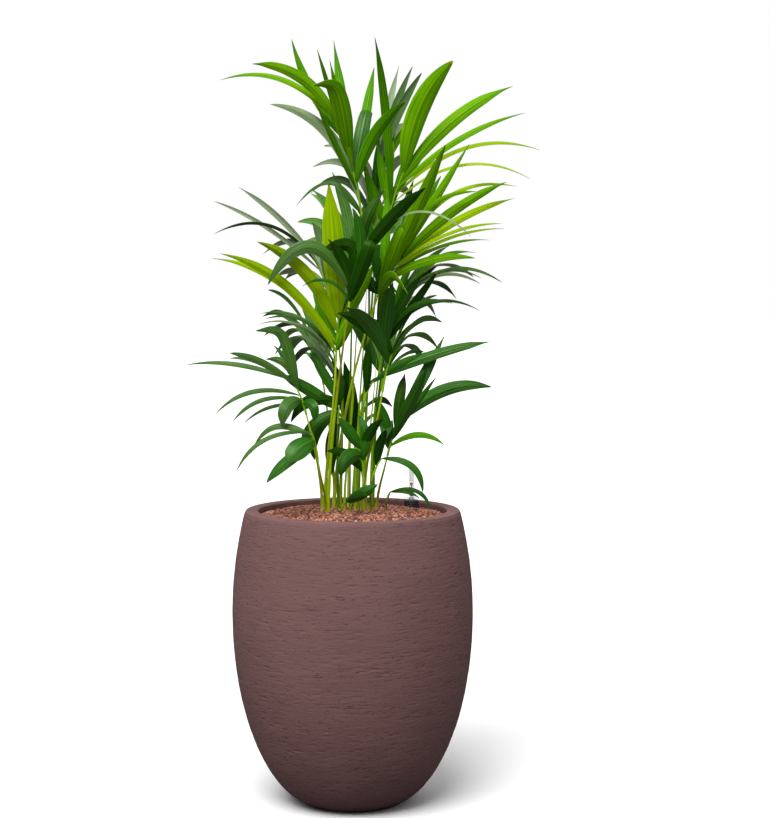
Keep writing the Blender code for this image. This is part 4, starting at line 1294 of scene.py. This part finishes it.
spear_fits = [(foot, tip, place_spear(foot, tip)) for foot, tip in SPEARS]
spear_fits = [fit for fit in spear_fits if fit[2] is not None]
for name, leaflets in INNER.items():
    place_leaflets(name, leaflets)
print(len(spear_fits), "spears and", sum(len(rows) for rows in LEAFLETS.values()), "leaflets in all")

# %% [markdown]
# ## Stalks and ribs
#
# A stalk is smooth, with a flat channel on its inner side and fine ribs along it. Low down a sheath clasps
# it, with a slanting edge, and old scars ring it. One straight stalk of unit size is modelled from a
# cylinder: cut into many rings, its channel pressed in. Each copy is then laid along its own line, about a
# third slimmer than the plain stalk, as the real ones are, and the sheath and the scars are swells of its
# radius. A Curve modifier could bend it too, but it twists where a line turns. The spears are laid in the
# same way.

# %% Model one straight stalk
STALK_SIDES = 16
STALK_RINGS = 72
STALK_SMOOTH = 60
CHANNEL_DEPTH = 0.22
CHANNEL_FROM = -0.85


def corners_of(piece):
    """A mesh's corners as an array."""
    places = np.empty(len(piece.data.vertices) * 3)
    piece.data.vertices.foreach_get("co", places)
    return places.reshape(-1, 3)


def model_stalk():
    """A straight stalk: radius 1, from 0 to 1 along Z, with a channel pressed into one side."""
    bpy.ops.object.select_all(action="DESELECT")
    bpy.ops.mesh.primitive_cylinder_add(vertices=STALK_SIDES, radius=1.0, depth=1.0, location=(0, 0, 0))
    piece = bpy.context.object
    edit(piece)
    bpy.ops.mesh.select_all(action="DESELECT")
    bpy.ops.mesh.select_mode(type="EDGE")
    bpy.ops.object.mode_set(mode="OBJECT")
    for edge in piece.data.edges:
        first, last = (piece.data.vertices[corner].co for corner in edge.vertices)
        edge.select = abs(first.z - last.z) > 0.5
    bpy.ops.object.mode_set(mode="EDIT")
    bpy.ops.mesh.subdivide_edgering(number_cuts=STALK_RINGS - 1, interpolation="LINEAR")
    bpy.ops.mesh.select_all(action="SELECT")
    bpy.ops.transform.translate(value=(0.0, 0.0, 0.5))
    edit(piece, lambda place: place.y < CHANNEL_FROM)
    bpy.ops.transform.translate(value=(0.0, CHANNEL_DEPTH, 0.0))
    return done(piece, "straight stalk", 70)


straight = model_stalk()
print("The straight stalk has", len(straight.data.polygons), "faces")

# %% Lay copies along the lines
TO_VIEWER = (0.0, -1.0, 0.0)


def frames_along(points, facing):
    """At each point of a line: the place, the way across and the way up, as arrays."""
    line = np.array([tuple(point) for point in points])
    along = np.gradient(line, axis=0)
    along /= np.linalg.norm(along, axis=1)[:, None]
    across = np.cross(along[0], facing)
    acrosses = []
    for heading in along:
        across = across - heading * (across @ heading)
        across = across / np.linalg.norm(across)
        acrosses.append(across)
    acrosses = np.array(acrosses)
    return line, acrosses, np.cross(acrosses, along)


def read_along(rows, share):
    """Rows of values read between their steps."""
    place = np.clip(share, 0.0, 1.0) * (len(rows) - 1)
    low = np.minimum(place.astype(int), len(rows) - 2)
    part = (place - low)[:, None]
    return rows[low] * (1 - part) + rows[low + 1] * part


def copied(master, name, places):
    """A copy of a master piece with its corners at new places."""
    piece = bpy.data.objects.new(name, master.data.copy())
    bpy.context.scene.collection.objects.link(piece)
    piece.data.vertices.foreach_set("co", places.ravel())
    piece.data.update()
    return piece


def laid_tube(name, points, radius_at):
    """A copy of the straight stalk, laid along a line with a radius for each share of its length."""
    corners = corners_of(straight)
    share = corners[:, 2]
    line, across, upper = (read_along(rows, share) for rows in frames_along(points, TO_VIEWER))
    radius = radius_at(share, np.arctan2(corners[:, 1], corners[:, 0]))[:, None]
    return copied(straight, name, line + (across * corners[:, :1] - upper * corners[:, 1:2]) * radius)


# %% [markdown]
# ## The skin of stalks
#
# Young stalks are a bright yellow green, others olive or leaf green, those inside the clump get a darker
# green that paints their shade, and one has turned brown above a green foot. Every stalk is palest at its
# foot. Fine lines run along it, so the pattern follows the stalk's own UV map, whose upper half belongs to
# the sides.

# %% Finish the stalks
SIDE_START = 0.5
FADE_SHARE = 0.22
STALK_RELIEF = 0.00012
STALK_GLOSS = 0.22
STALK_TINT = (0.8, 1.0, 0.3, 1.0)
SCURF = 0.25
LINES = 7.0


def fibrous():
    """Node group: fine lines along a stalk, a foot of another tone and small scurf."""
    tree, given = group("Stalk fibres", Skin=grey(0.3), Foot=grey(0.2), Scurf=0.3, Lines=9.0, Reach=0.1)
    foot = given["Foot"]
    coordinates = node(tree, "ShaderNodeTexCoord").outputs
    parts = node(tree, "ShaderNodeSeparateXYZ", {0: coordinates["UV"]}).outputs
    turn = maths(tree, "MULTIPLY", parts[0], given["Lines"])
    lines = ranged(tree, maths(tree, "SINE", maths(tree, "MULTIPLY", turn, 2 * math.pi)), -1.0, 1.0)
    spots = ranged(tree, noise(tree, coordinates["Object"], 420.0, 3.0), 0.50, 0.72)
    clouds = ranged(tree, noise(tree, coordinates["Object"], 28.0, 3.0), 0.35, 0.68)
    past_foot = maths(tree, "SUBTRACT", ranged(tree, parts[1], SIDE_START, 1.0), given["Reach"])
    low = maths(tree, "SUBTRACT", 1.0, maths(tree, "DIVIDE", past_foot, FADE_SHARE, clamp=True))
    scurf = maths(tree, "MULTIPLY", spots, given["Scurf"])
    colour = layered(
        tree, given["Skin"],
        (lines, 0.22, foot), (clouds, 0.25, foot), (low, 1.0, foot), (scurf, 1.0, foot),
    )
    rough = maths(tree, "MULTIPLY_ADD", spots, 0.25, 0.36)
    return put_out(tree, colour, rough, summed(tree, (lines, 1.0), (spots, 0.5)))


# Each tone: the skin, the foot and how far up the foot reaches
STALK_TONES = {
    "yellow green": ((0.480, 0.720, 0.006), (0.640, 0.740, 0.060), 0.02),
    "olive": ((0.330, 0.530, 0.008), (0.460, 0.520, 0.040), 0.02),
    "leaf green": ((0.190, 0.480, 0.004), (0.360, 0.540, 0.016), 0.02),
    "brown above": ((0.240, 0.145, 0.014), (0.480, 0.720, 0.006), 0.45),
    # Shaded green paints the shade on stalks inside the clump and on some spears.
    "shaded green": ((0.075, 0.230, 0.003), (0.200, 0.330, 0.012), 0.02),
}
STALKS_IN = {
    "yellow green": "left_fan right_fan left_low left_mid right_low front_drape",
    "olive": "crown_left back_left low_front seedling_right",
    "leaf green": "crown_right right_inner right_blade rear_left rear_low low_right seedling_front",
    "brown above": "centre_front",
    "shaded green": "crown_back back_right left_rear_low left_inner rear_high rear_right",
}
stalk_tone_of = {name: tone for tone, names in STALKS_IN.items() for name in names.split()}
fibres = fibrous()
stalk_finishes = {}
for tone, (skin_tone, foot_tone, reach) in STALK_TONES.items():
    values = {"Skin": skin_tone, "Foot": foot_tone, "Reach": reach, "Scurf": SCURF, "Lines": LINES}
    stalk_finishes[tone] = finish_from(
        fibres, f"stalk {tone}", STALK_RELIEF, 0.45, STALK_GLOSS, values, Specular_Tint=STALK_TINT,
    )
print(len(stalk_finishes), "tones of stalk for", len(stalk_tone_of), "stalks")

# %% Lay the stalks and the spears
STALK_SLIMMER = 0.64
SHEATH_SHARE = 0.16
SHEATH_SWELL = 0.12
SHEATH_EDGE = 0.012
SCARS = 5
SCAR_SWELL = 0.07
SCAR_WIDTH = 0.006
SPEAR_TONES = ("leaf green", "yellow green", "shaded green")


def stalk_radius(foot_radius, chance):
    """The radius along a stalk: tapering, with a sheath that ends in a slanting edge, and scars."""
    sheath = SHEATH_SHARE * chance.uniform(0.7, 1.3)
    slant = chance.uniform(0.0, 2 * math.pi)
    scars = sorted(chance.uniform(0.03, 0.6) for _ in range(SCARS))

    def radius_at(share, turn):
        plain = (foot_radius + (STALK_TIP_RADIUS - foot_radius) * share) * STALK_SLIMMER
        edge = sheath + 0.030 * np.cos(turn - slant) + 0.008 * np.sin(3 * turn)
        clasped = np.clip((edge - share) / SHEATH_EDGE, 0.0, 1.0)
        swell = 1.0 + SHEATH_SWELL * clasped * (0.5 + 0.5 * share / sheath)
        for scar in scars:
            swell = swell + SCAR_SWELL * np.exp(-(((share - scar) / SCAR_WIDTH) ** 2))
        return plain * swell

    return radius_at


def spear_radius(share, _):
    """The radius along a spear, which ends in a point."""
    return SPEAR_RADIUS * (1.001 - share) ** 0.6


for name, (foot, crown, end, radius, _) in FRONDS.items():
    chance = random.Random(f"stalk {name}")
    line = even_steps(stalk_points(foot, Vector(crown), Vector(end), STALK_RINGS), STALK_RINGS)
    piece = laid_tube(f"stalk_skin_{name}", line, stalk_radius(radius, chance))
    finish_with(piece, stalk_finishes[stalk_tone_of[name]])
    settle(done(piece, piece.name, STALK_SMOOTH), "stalk", f"stalk_{name}")

for index, (foot, tip, step) in enumerate(spear_fits):
    line = even_steps(spear_line(foot, tip, 2 * math.pi * step / SPEAR_TURNS), STALK_RINGS)
    piece = laid_tube(f"spear_{index}", line, spear_radius)
    finish_with(piece, stalk_finishes[SPEAR_TONES[index % len(SPEAR_TONES)]])
    settle(done(piece, piece.name, STALK_SMOOTH), "stalk")

# %% [markdown]
# ## One leaflet
#
# A kentia leaflet is a long lance with a raised midrib and a few soft pleats beside it, a little roof-
# shaped near its foot and flatter further out. It is modelled once from a grid: each column of corners is
# lifted to its place in the section. The outline and the bend come when a copy is laid along its own
# midrib, because each one differs. A copy is a little slimmer than the plain blade, and some tails are
# drawn out finer still.

# %% Model one flat leaflet
LEAF_COLUMNS = 12
LEAF_ROWS = 44
LEAF_SMOOTH = 80
PLEATS = (0.50, 0.385, 0.350, 0.235, 0.215, 0.085, 0.0)


def model_leaflet():
    """A leaflet of half width 1 and length 1: a grid, folded into a midrib and pleats."""
    bpy.ops.object.select_all(action="DESELECT")
    bpy.ops.mesh.primitive_grid_add(
        x_subdivisions=LEAF_COLUMNS, y_subdivisions=LEAF_ROWS, size=2.0, location=(0, 0, 0),
    )
    piece = bpy.context.object
    edit(piece)
    bpy.ops.transform.resize(value=(1.0, 0.5, 1.0))
    bpy.ops.transform.translate(value=(0.0, 0.5, 0.0))
    half = LEAF_COLUMNS // 2
    for column, lift in enumerate(PLEATS):
        edit(piece, lambda place, at=column: abs(abs(place.x) * half - at) < 0.1)
        bpy.ops.transform.translate(value=(0.0, 0.0, lift))
    return done(piece, "flat leaflet", LEAF_SMOOTH)


flat = model_leaflet()
print("The flat leaflet has", len(flat.data.polygons), "faces")

# %% Lay a leaflet along its midrib
LEAF_SLIMMER = 0.96
TAIL_STARTS = (0.62, 0.84)
TAIL_END = 0.94
TAIL_PINCH = 0.62
TWIST = 16
CURL = 0.16
WAVE = 0.05
ROOF = 0.95
ROOF_LOSS = 0.55


def lay_leaflet(name, points, width, face, chance):
    """A copy of the flat leaflet along a midrib, with a tail, a twist and a wave of its own."""
    corners = corners_of(flat)
    side, share, pleat = corners.T
    turn = math.radians(face)
    rows = frames_along(points, (0.0, -math.cos(turn), math.sin(turn)))
    line, across, upper = (read_along(values, share) for values in rows)
    tail_start = chance.uniform(*TAIL_STARTS)
    tail = np.clip((share - tail_start) / (TAIL_END - tail_start), 0.0, 1.0) ** 1.5
    half = 0.5 * LEAF_SLIMMER * width * outline(share) * (1.0 - tail * chance.uniform(0.0, TAIL_PINCH))
    twist = np.radians(chance.uniform(-TWIST, TWIST)) * share**1.5
    wave = WAVE * np.sin(share * chance.uniform(9, 15) + chance.uniform(0, 6)) * side
    roof = pleat * (ROOF - ROOF_LOSS * share) + CURL * share * (1 - side**2) * chance.uniform(-0.4, 1.0)
    lift = (roof + wave * share) * half
    sideways = side * half * np.cos(twist) - lift * np.sin(twist)
    upwards = side * half * np.sin(twist) + lift * np.cos(twist)
    return copied(flat, name, line + across * sideways[:, None] + upper * upwards[:, None])


# %% [markdown]
# ## The leaf's skin
#
# The blades are softly glossed, and their gloss is tinted, since light comes back green out of a leaf.
# Parallel veins run from foot to tip, the midrib shows as a paler line, and the colour drifts in streaks
# along the blade. The underside is greyer and duller. A node group makes the veins from the leaflet's own
# UV map, and each tone of green has its own three colours, dealt out leaflet by leaflet. A few tips are
# dry.

# %% Finish the leaf
VEIN_COUNT = 13
VEIN_RELIEF = 0.00040


def veined():
    """Node group: a pale midrib, parallel veins and drifting colour of a leaf."""
    tree, given = group("Leaf veins", Blade=grey(0.2), Vein=grey(0.3), Shade=grey(0.1))
    vein, shade = given["Vein"], given["Shade"]
    coordinates = node(tree, "ShaderNodeTexCoord").outputs
    parts = node(tree, "ShaderNodeSeparateXYZ", {0: coordinates["UV"]}).outputs
    from_middle = maths(tree, "ABSOLUTE", maths(tree, "SUBTRACT", parts[0], 0.5))
    rim_line = ranged(tree, from_middle, 0.462, 0.480)
    midrib_line = ranged(tree, from_middle, 0.012, 0.035, 1.0, 0.0)
    foot = ranged(tree, parts[1], 0.0, 0.30, 1.0, 0.0)
    stretched = node(tree, "ShaderNodeMapping", {0: coordinates["UV"], 3: (9.0, 0.6, 1.0)}).outputs[0]
    streaks = ranged(tree, noise(tree, stretched, 1.0, 3.0), 0.40, 0.60)
    wave = maths(tree, "SINE", maths(tree, "MULTIPLY", parts[0], VEIN_COUNT * 2 * math.pi))
    lines = ranged(tree, wave, 0.35, 1.0)
    furrows = ranged(tree, wave, -0.35, -1.0)
    clouds = ranged(tree, noise(tree, coordinates["Object"], 22.0, 2.0), 0.36, 0.66)
    colour = layered(
        tree, given["Blade"], (streaks, 0.85, shade), (foot, 0.45, shade), (lines, 0.30, vein),
        (furrows, 0.50, shade), (rim_line, 0.45, vein), (clouds, 0.16, vein), (midrib_line, 0.60, vein),
    )
    rough = maths(tree, "MULTIPLY_ADD", clouds, 0.12, 0.30)
    return put_out(tree, colour, rough, summed(tree, (lines, 0.6), (streaks, 0.5)))


veins = veined()
# Each tone: the blade, its veins and its shaded streaks
LEAF_TONES = {
    "lime": ((0.430, 0.690, 0.0010), (0.62, 0.82, 0.010), (0.200, 0.440, 0.0006)),
    "bright": ((0.175, 0.490, 0.0008), (0.38, 0.68, 0.004), (0.036, 0.230, 0.0005)),
    "mid": ((0.095, 0.385, 0.0008), (0.25, 0.58, 0.004), (0.016, 0.150, 0.0004)),
    "deep": ((0.017, 0.145, 0.0006), (0.070, 0.290, 0.003), (0.005, 0.062, 0.0003)),
    "dark": ((0.006, 0.060, 0.0006), (0.026, 0.140, 0.002), (0.002, 0.024, 0.0003)),
    "grey": ((0.058, 0.190, 0.016), (0.155, 0.330, 0.05), (0.024, 0.092, 0.006)),
    "pale": ((0.320, 0.450, 0.200), (0.47, 0.58, 0.33), (0.190, 0.310, 0.110)),
}
LEAF_GLOSS = 0.14
LEAF_TINT = (0.62, 1.0, 0.18, 1.0)
GLOSSES = {"mid": 0.20, "deep": 0.46, "dark": 0.34, "grey": 0.46, "pale": 0.30}
TINTS = {"deep": (0.85, 1.0, 0.65, 1.0), "grey": (0.90, 1.0, 0.80, 1.0), "pale": (0.90, 1.0, 0.80, 1.0)}
UNDER_GREY = 0.22
UNDER_GLOSS = 0.12
UNDER_ROUGHNESS = 0.50
TIP_TONES = {"yellow": (0.62, 0.44, 0.05), "brown": (0.30, 0.13, 0.045), "red": (0.45, 0.045, 0.020)}
TIP_GLOSS = 0.1
TIP_ROUGHNESS = 0.6


def leaf_finish(name, colours, gloss, roughness=None, tint=LEAF_TINT):
    """One side of a leaf in one tone, with the veins' own roughness where none is given."""
    values = dict(zip(("Blade", "Vein", "Shade"), colours))
    even = roughness is not None
    return finish_from(veins, name, VEIN_RELIEF, roughness or 0.4, gloss, values, even, Specular_Tint=tint)


def greyed(colour):
    """A leaf colour as its underside shows it: paler and duller."""
    level = 0.35 * colour[0] + 0.5 * colour[1] + 0.15 * colour[2]
    return tuple(part * (1 - UNDER_GREY) + (level * 1.15 + 0.02) * UNDER_GREY for part in colour)


leaf_finishes = {}
for tone, colours in LEAF_TONES.items():
    tint = TINTS.get(tone, LEAF_TINT)
    under_colours = [greyed(colour) for colour in colours]
    leaf_finishes[tone] = (
        leaf_finish(f"leaf {tone}", colours, GLOSSES.get(tone, LEAF_GLOSS), tint=tint),
        leaf_finish(f"leaf {tone} underside", under_colours, UNDER_GLOSS, UNDER_ROUGHNESS, tint),
    )
tip_finishes = {}
for tone, colour in TIP_TONES.items():
    colours = (colour, colour, tuple(0.7 * part for part in colour))
    tip_finishes[tone] = leaf_finish(f"tip {tone}", colours, TIP_GLOSS, TIP_ROUGHNESS)
print(len(leaf_finishes), "tones of green")

# %% [markdown]
# ## The fronds
#
# Each frond is one piece: its leaflets laid, given their thickness, and joined. The tone of each leaflet
# follows its place in the clump: lime and bright are partly the young fans' own colour and partly painted
# light coming through them, deep and dark green inside are partly the older leaves' own green and partly
# painted shade, and grey and pale, where the undersides of the rear ones catch the sky, are a painted sheen.
# The ribs are laid like the stalks and joined into a piece of their own.

# %% Grow the fronds
BLADE_THICKNESS = 0.00055
LEAF_STEPS = 48
TIP_ROWS = 0.048
# Lime and bright are partly painted light through the young fans, deep and dark partly painted shade inside
# the clump, grey and pale a painted sheen of the sky on the rear undersides.
TONES = {
    "crown_left": "bright bright mid mid bright mid bright deep mid mid mid pale grey grey",
    "crown_right": "bright bright bright lime lime mid mid mid bright mid mid",
    "crown_back": "grey grey pale pale pale grey pale pale pale mid deep mid bright",
    "right_fan": "bright bright bright bright mid bright lime lime bright lime lime bright bright "
    "deep mid deep mid dark",
    "centre_front": "grey dark dark dark deep dark bright pale dark deep dark",
    "left_fan": "lime lime lime lime bright bright mid deep",
    "back_left": "pale pale grey pale pale pale pale grey pale",
    "left_rear_low": "grey grey pale grey pale grey",
    "left_mid": "grey grey grey grey grey grey grey grey deep grey deep",
    "left_inner": "deep deep dark dark deep dark deep dark",
    "left_low": "grey grey deep deep",
    "right_low": "deep deep deep deep mid deep deep dark",
    "right_blade": "deep deep dark",
    "front_drape": "dark deep",
    "right_inner": "dark deep deep deep bright deep dark deep",
    "back_right": "grey pale grey grey pale grey pale mid deep mid",
    "low_front": "deep deep dark dark deep",
    "low_right": "deep dark",
    "rear_high": "mid bright mid bright mid bright mid mid",
    "rear_left": "mid mid bright mid mid mid mid",
    "rear_right": "bright mid bright mid mid mid mid",
    "rear_low": "mid deep mid mid deep mid dark dark",
    "seedling_right": "deep deep",
    "seedling_front": "deep dark",
}


def grow_frond(name):
    """Lays a frond's leaflets and deals out their tones, the last one to all that are left.

    They are then joined and given a thickness.
    """
    chance = random.Random(f"leaves {name}")
    tones = TONES[name].split()
    used = sorted(set(tones))
    tip_tone = chance.choice(["yellow", "brown", "yellow", "yellow"]) if name != "front_drape" else "red"
    slots = [finish for tone in used for finish in leaf_finishes[tone]] + [tip_finishes[tip_tone]] * 2
    tip_slot = len(slots) - 2
    pieces = []
    for index, (start, leaflet, (swing, rise_share)) in enumerate(LEAFLETS[name]):
        points = midrib(start, leaflet, swing, rise_share, LEAF_STEPS)
        piece = lay_leaflet(f"{name} leaflet", points, leaflet[4], leaflet[6], chance)
        finish_with(piece, *slots)
        slot = 2 * used.index(tones[min(index, len(tones) - 1)])
        tip_from = LEAF_ROWS * (1 - TIP_ROWS * chance.uniform(-0.8, 1.2))
        faces = piece.data.polygons
        marks = [tip_slot if face.index // LEAF_COLUMNS >= tip_from else slot for face in faces]
        faces.foreach_set("material_index", marks)
        pieces.append(piece)
    frond = joined(pieces)
    edit(frond)
    bpy.ops.mesh.remove_doubles(threshold=0.000001)
    bpy.ops.object.mode_set(mode="OBJECT")
    shell = frond.modifiers.new("thickness", "SOLIDIFY")
    shell.thickness = BLADE_THICKNESS
    shell.offset = -1.0
    shell.material_offset = 1
    shell.material_offset_rim = 1
    bpy.ops.object.modifier_apply(modifier=shell.name)
    return done(frond, f"leaflets_{name}", LEAF_SMOOTH)


for name in FRONDS:
    settle(grow_frond(name), "blade", f"frond_{name}")

# %% Lay the ribs
def rib_radius(share, _):
    """The radius along a rib, tapering to its end."""
    return STALK_TIP_RADIUS + (RIB_TIP_RADIUS - STALK_TIP_RADIUS) * share


rib_pieces = []
for name, (_, crown, end, _, _) in FRONDS.items():
    line = even_steps(rib_points(Vector(crown), Vector(end), STALK_RINGS), STALK_RINGS)
    rib_pieces.append(laid_tube(f"rib {name}", line, rib_radius))
    finish_with(rib_pieces[-1], stalk_finishes["leaf green"])
settle(done(joined(rib_pieces), "ribs", STALK_SMOOTH), "stalk")
for master in (straight, flat):
    bpy.data.objects.remove(master)

# %% [markdown]
# ## The two boxes
#
# The boxes of the plain palm and of the dressed one are both measured and printed. The dressed palm has to
# fill the same space as the plain one.

# %% Measure and finish
seen_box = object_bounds()
for axis, letter in enumerate("XYZ"):
    plain = [round(corner[axis], 3) for corner in cad_box]
    dressed = [round(corner[axis], 3) for corner in seen_box]
    print(letter, "plain", plain, "dressed", dressed)
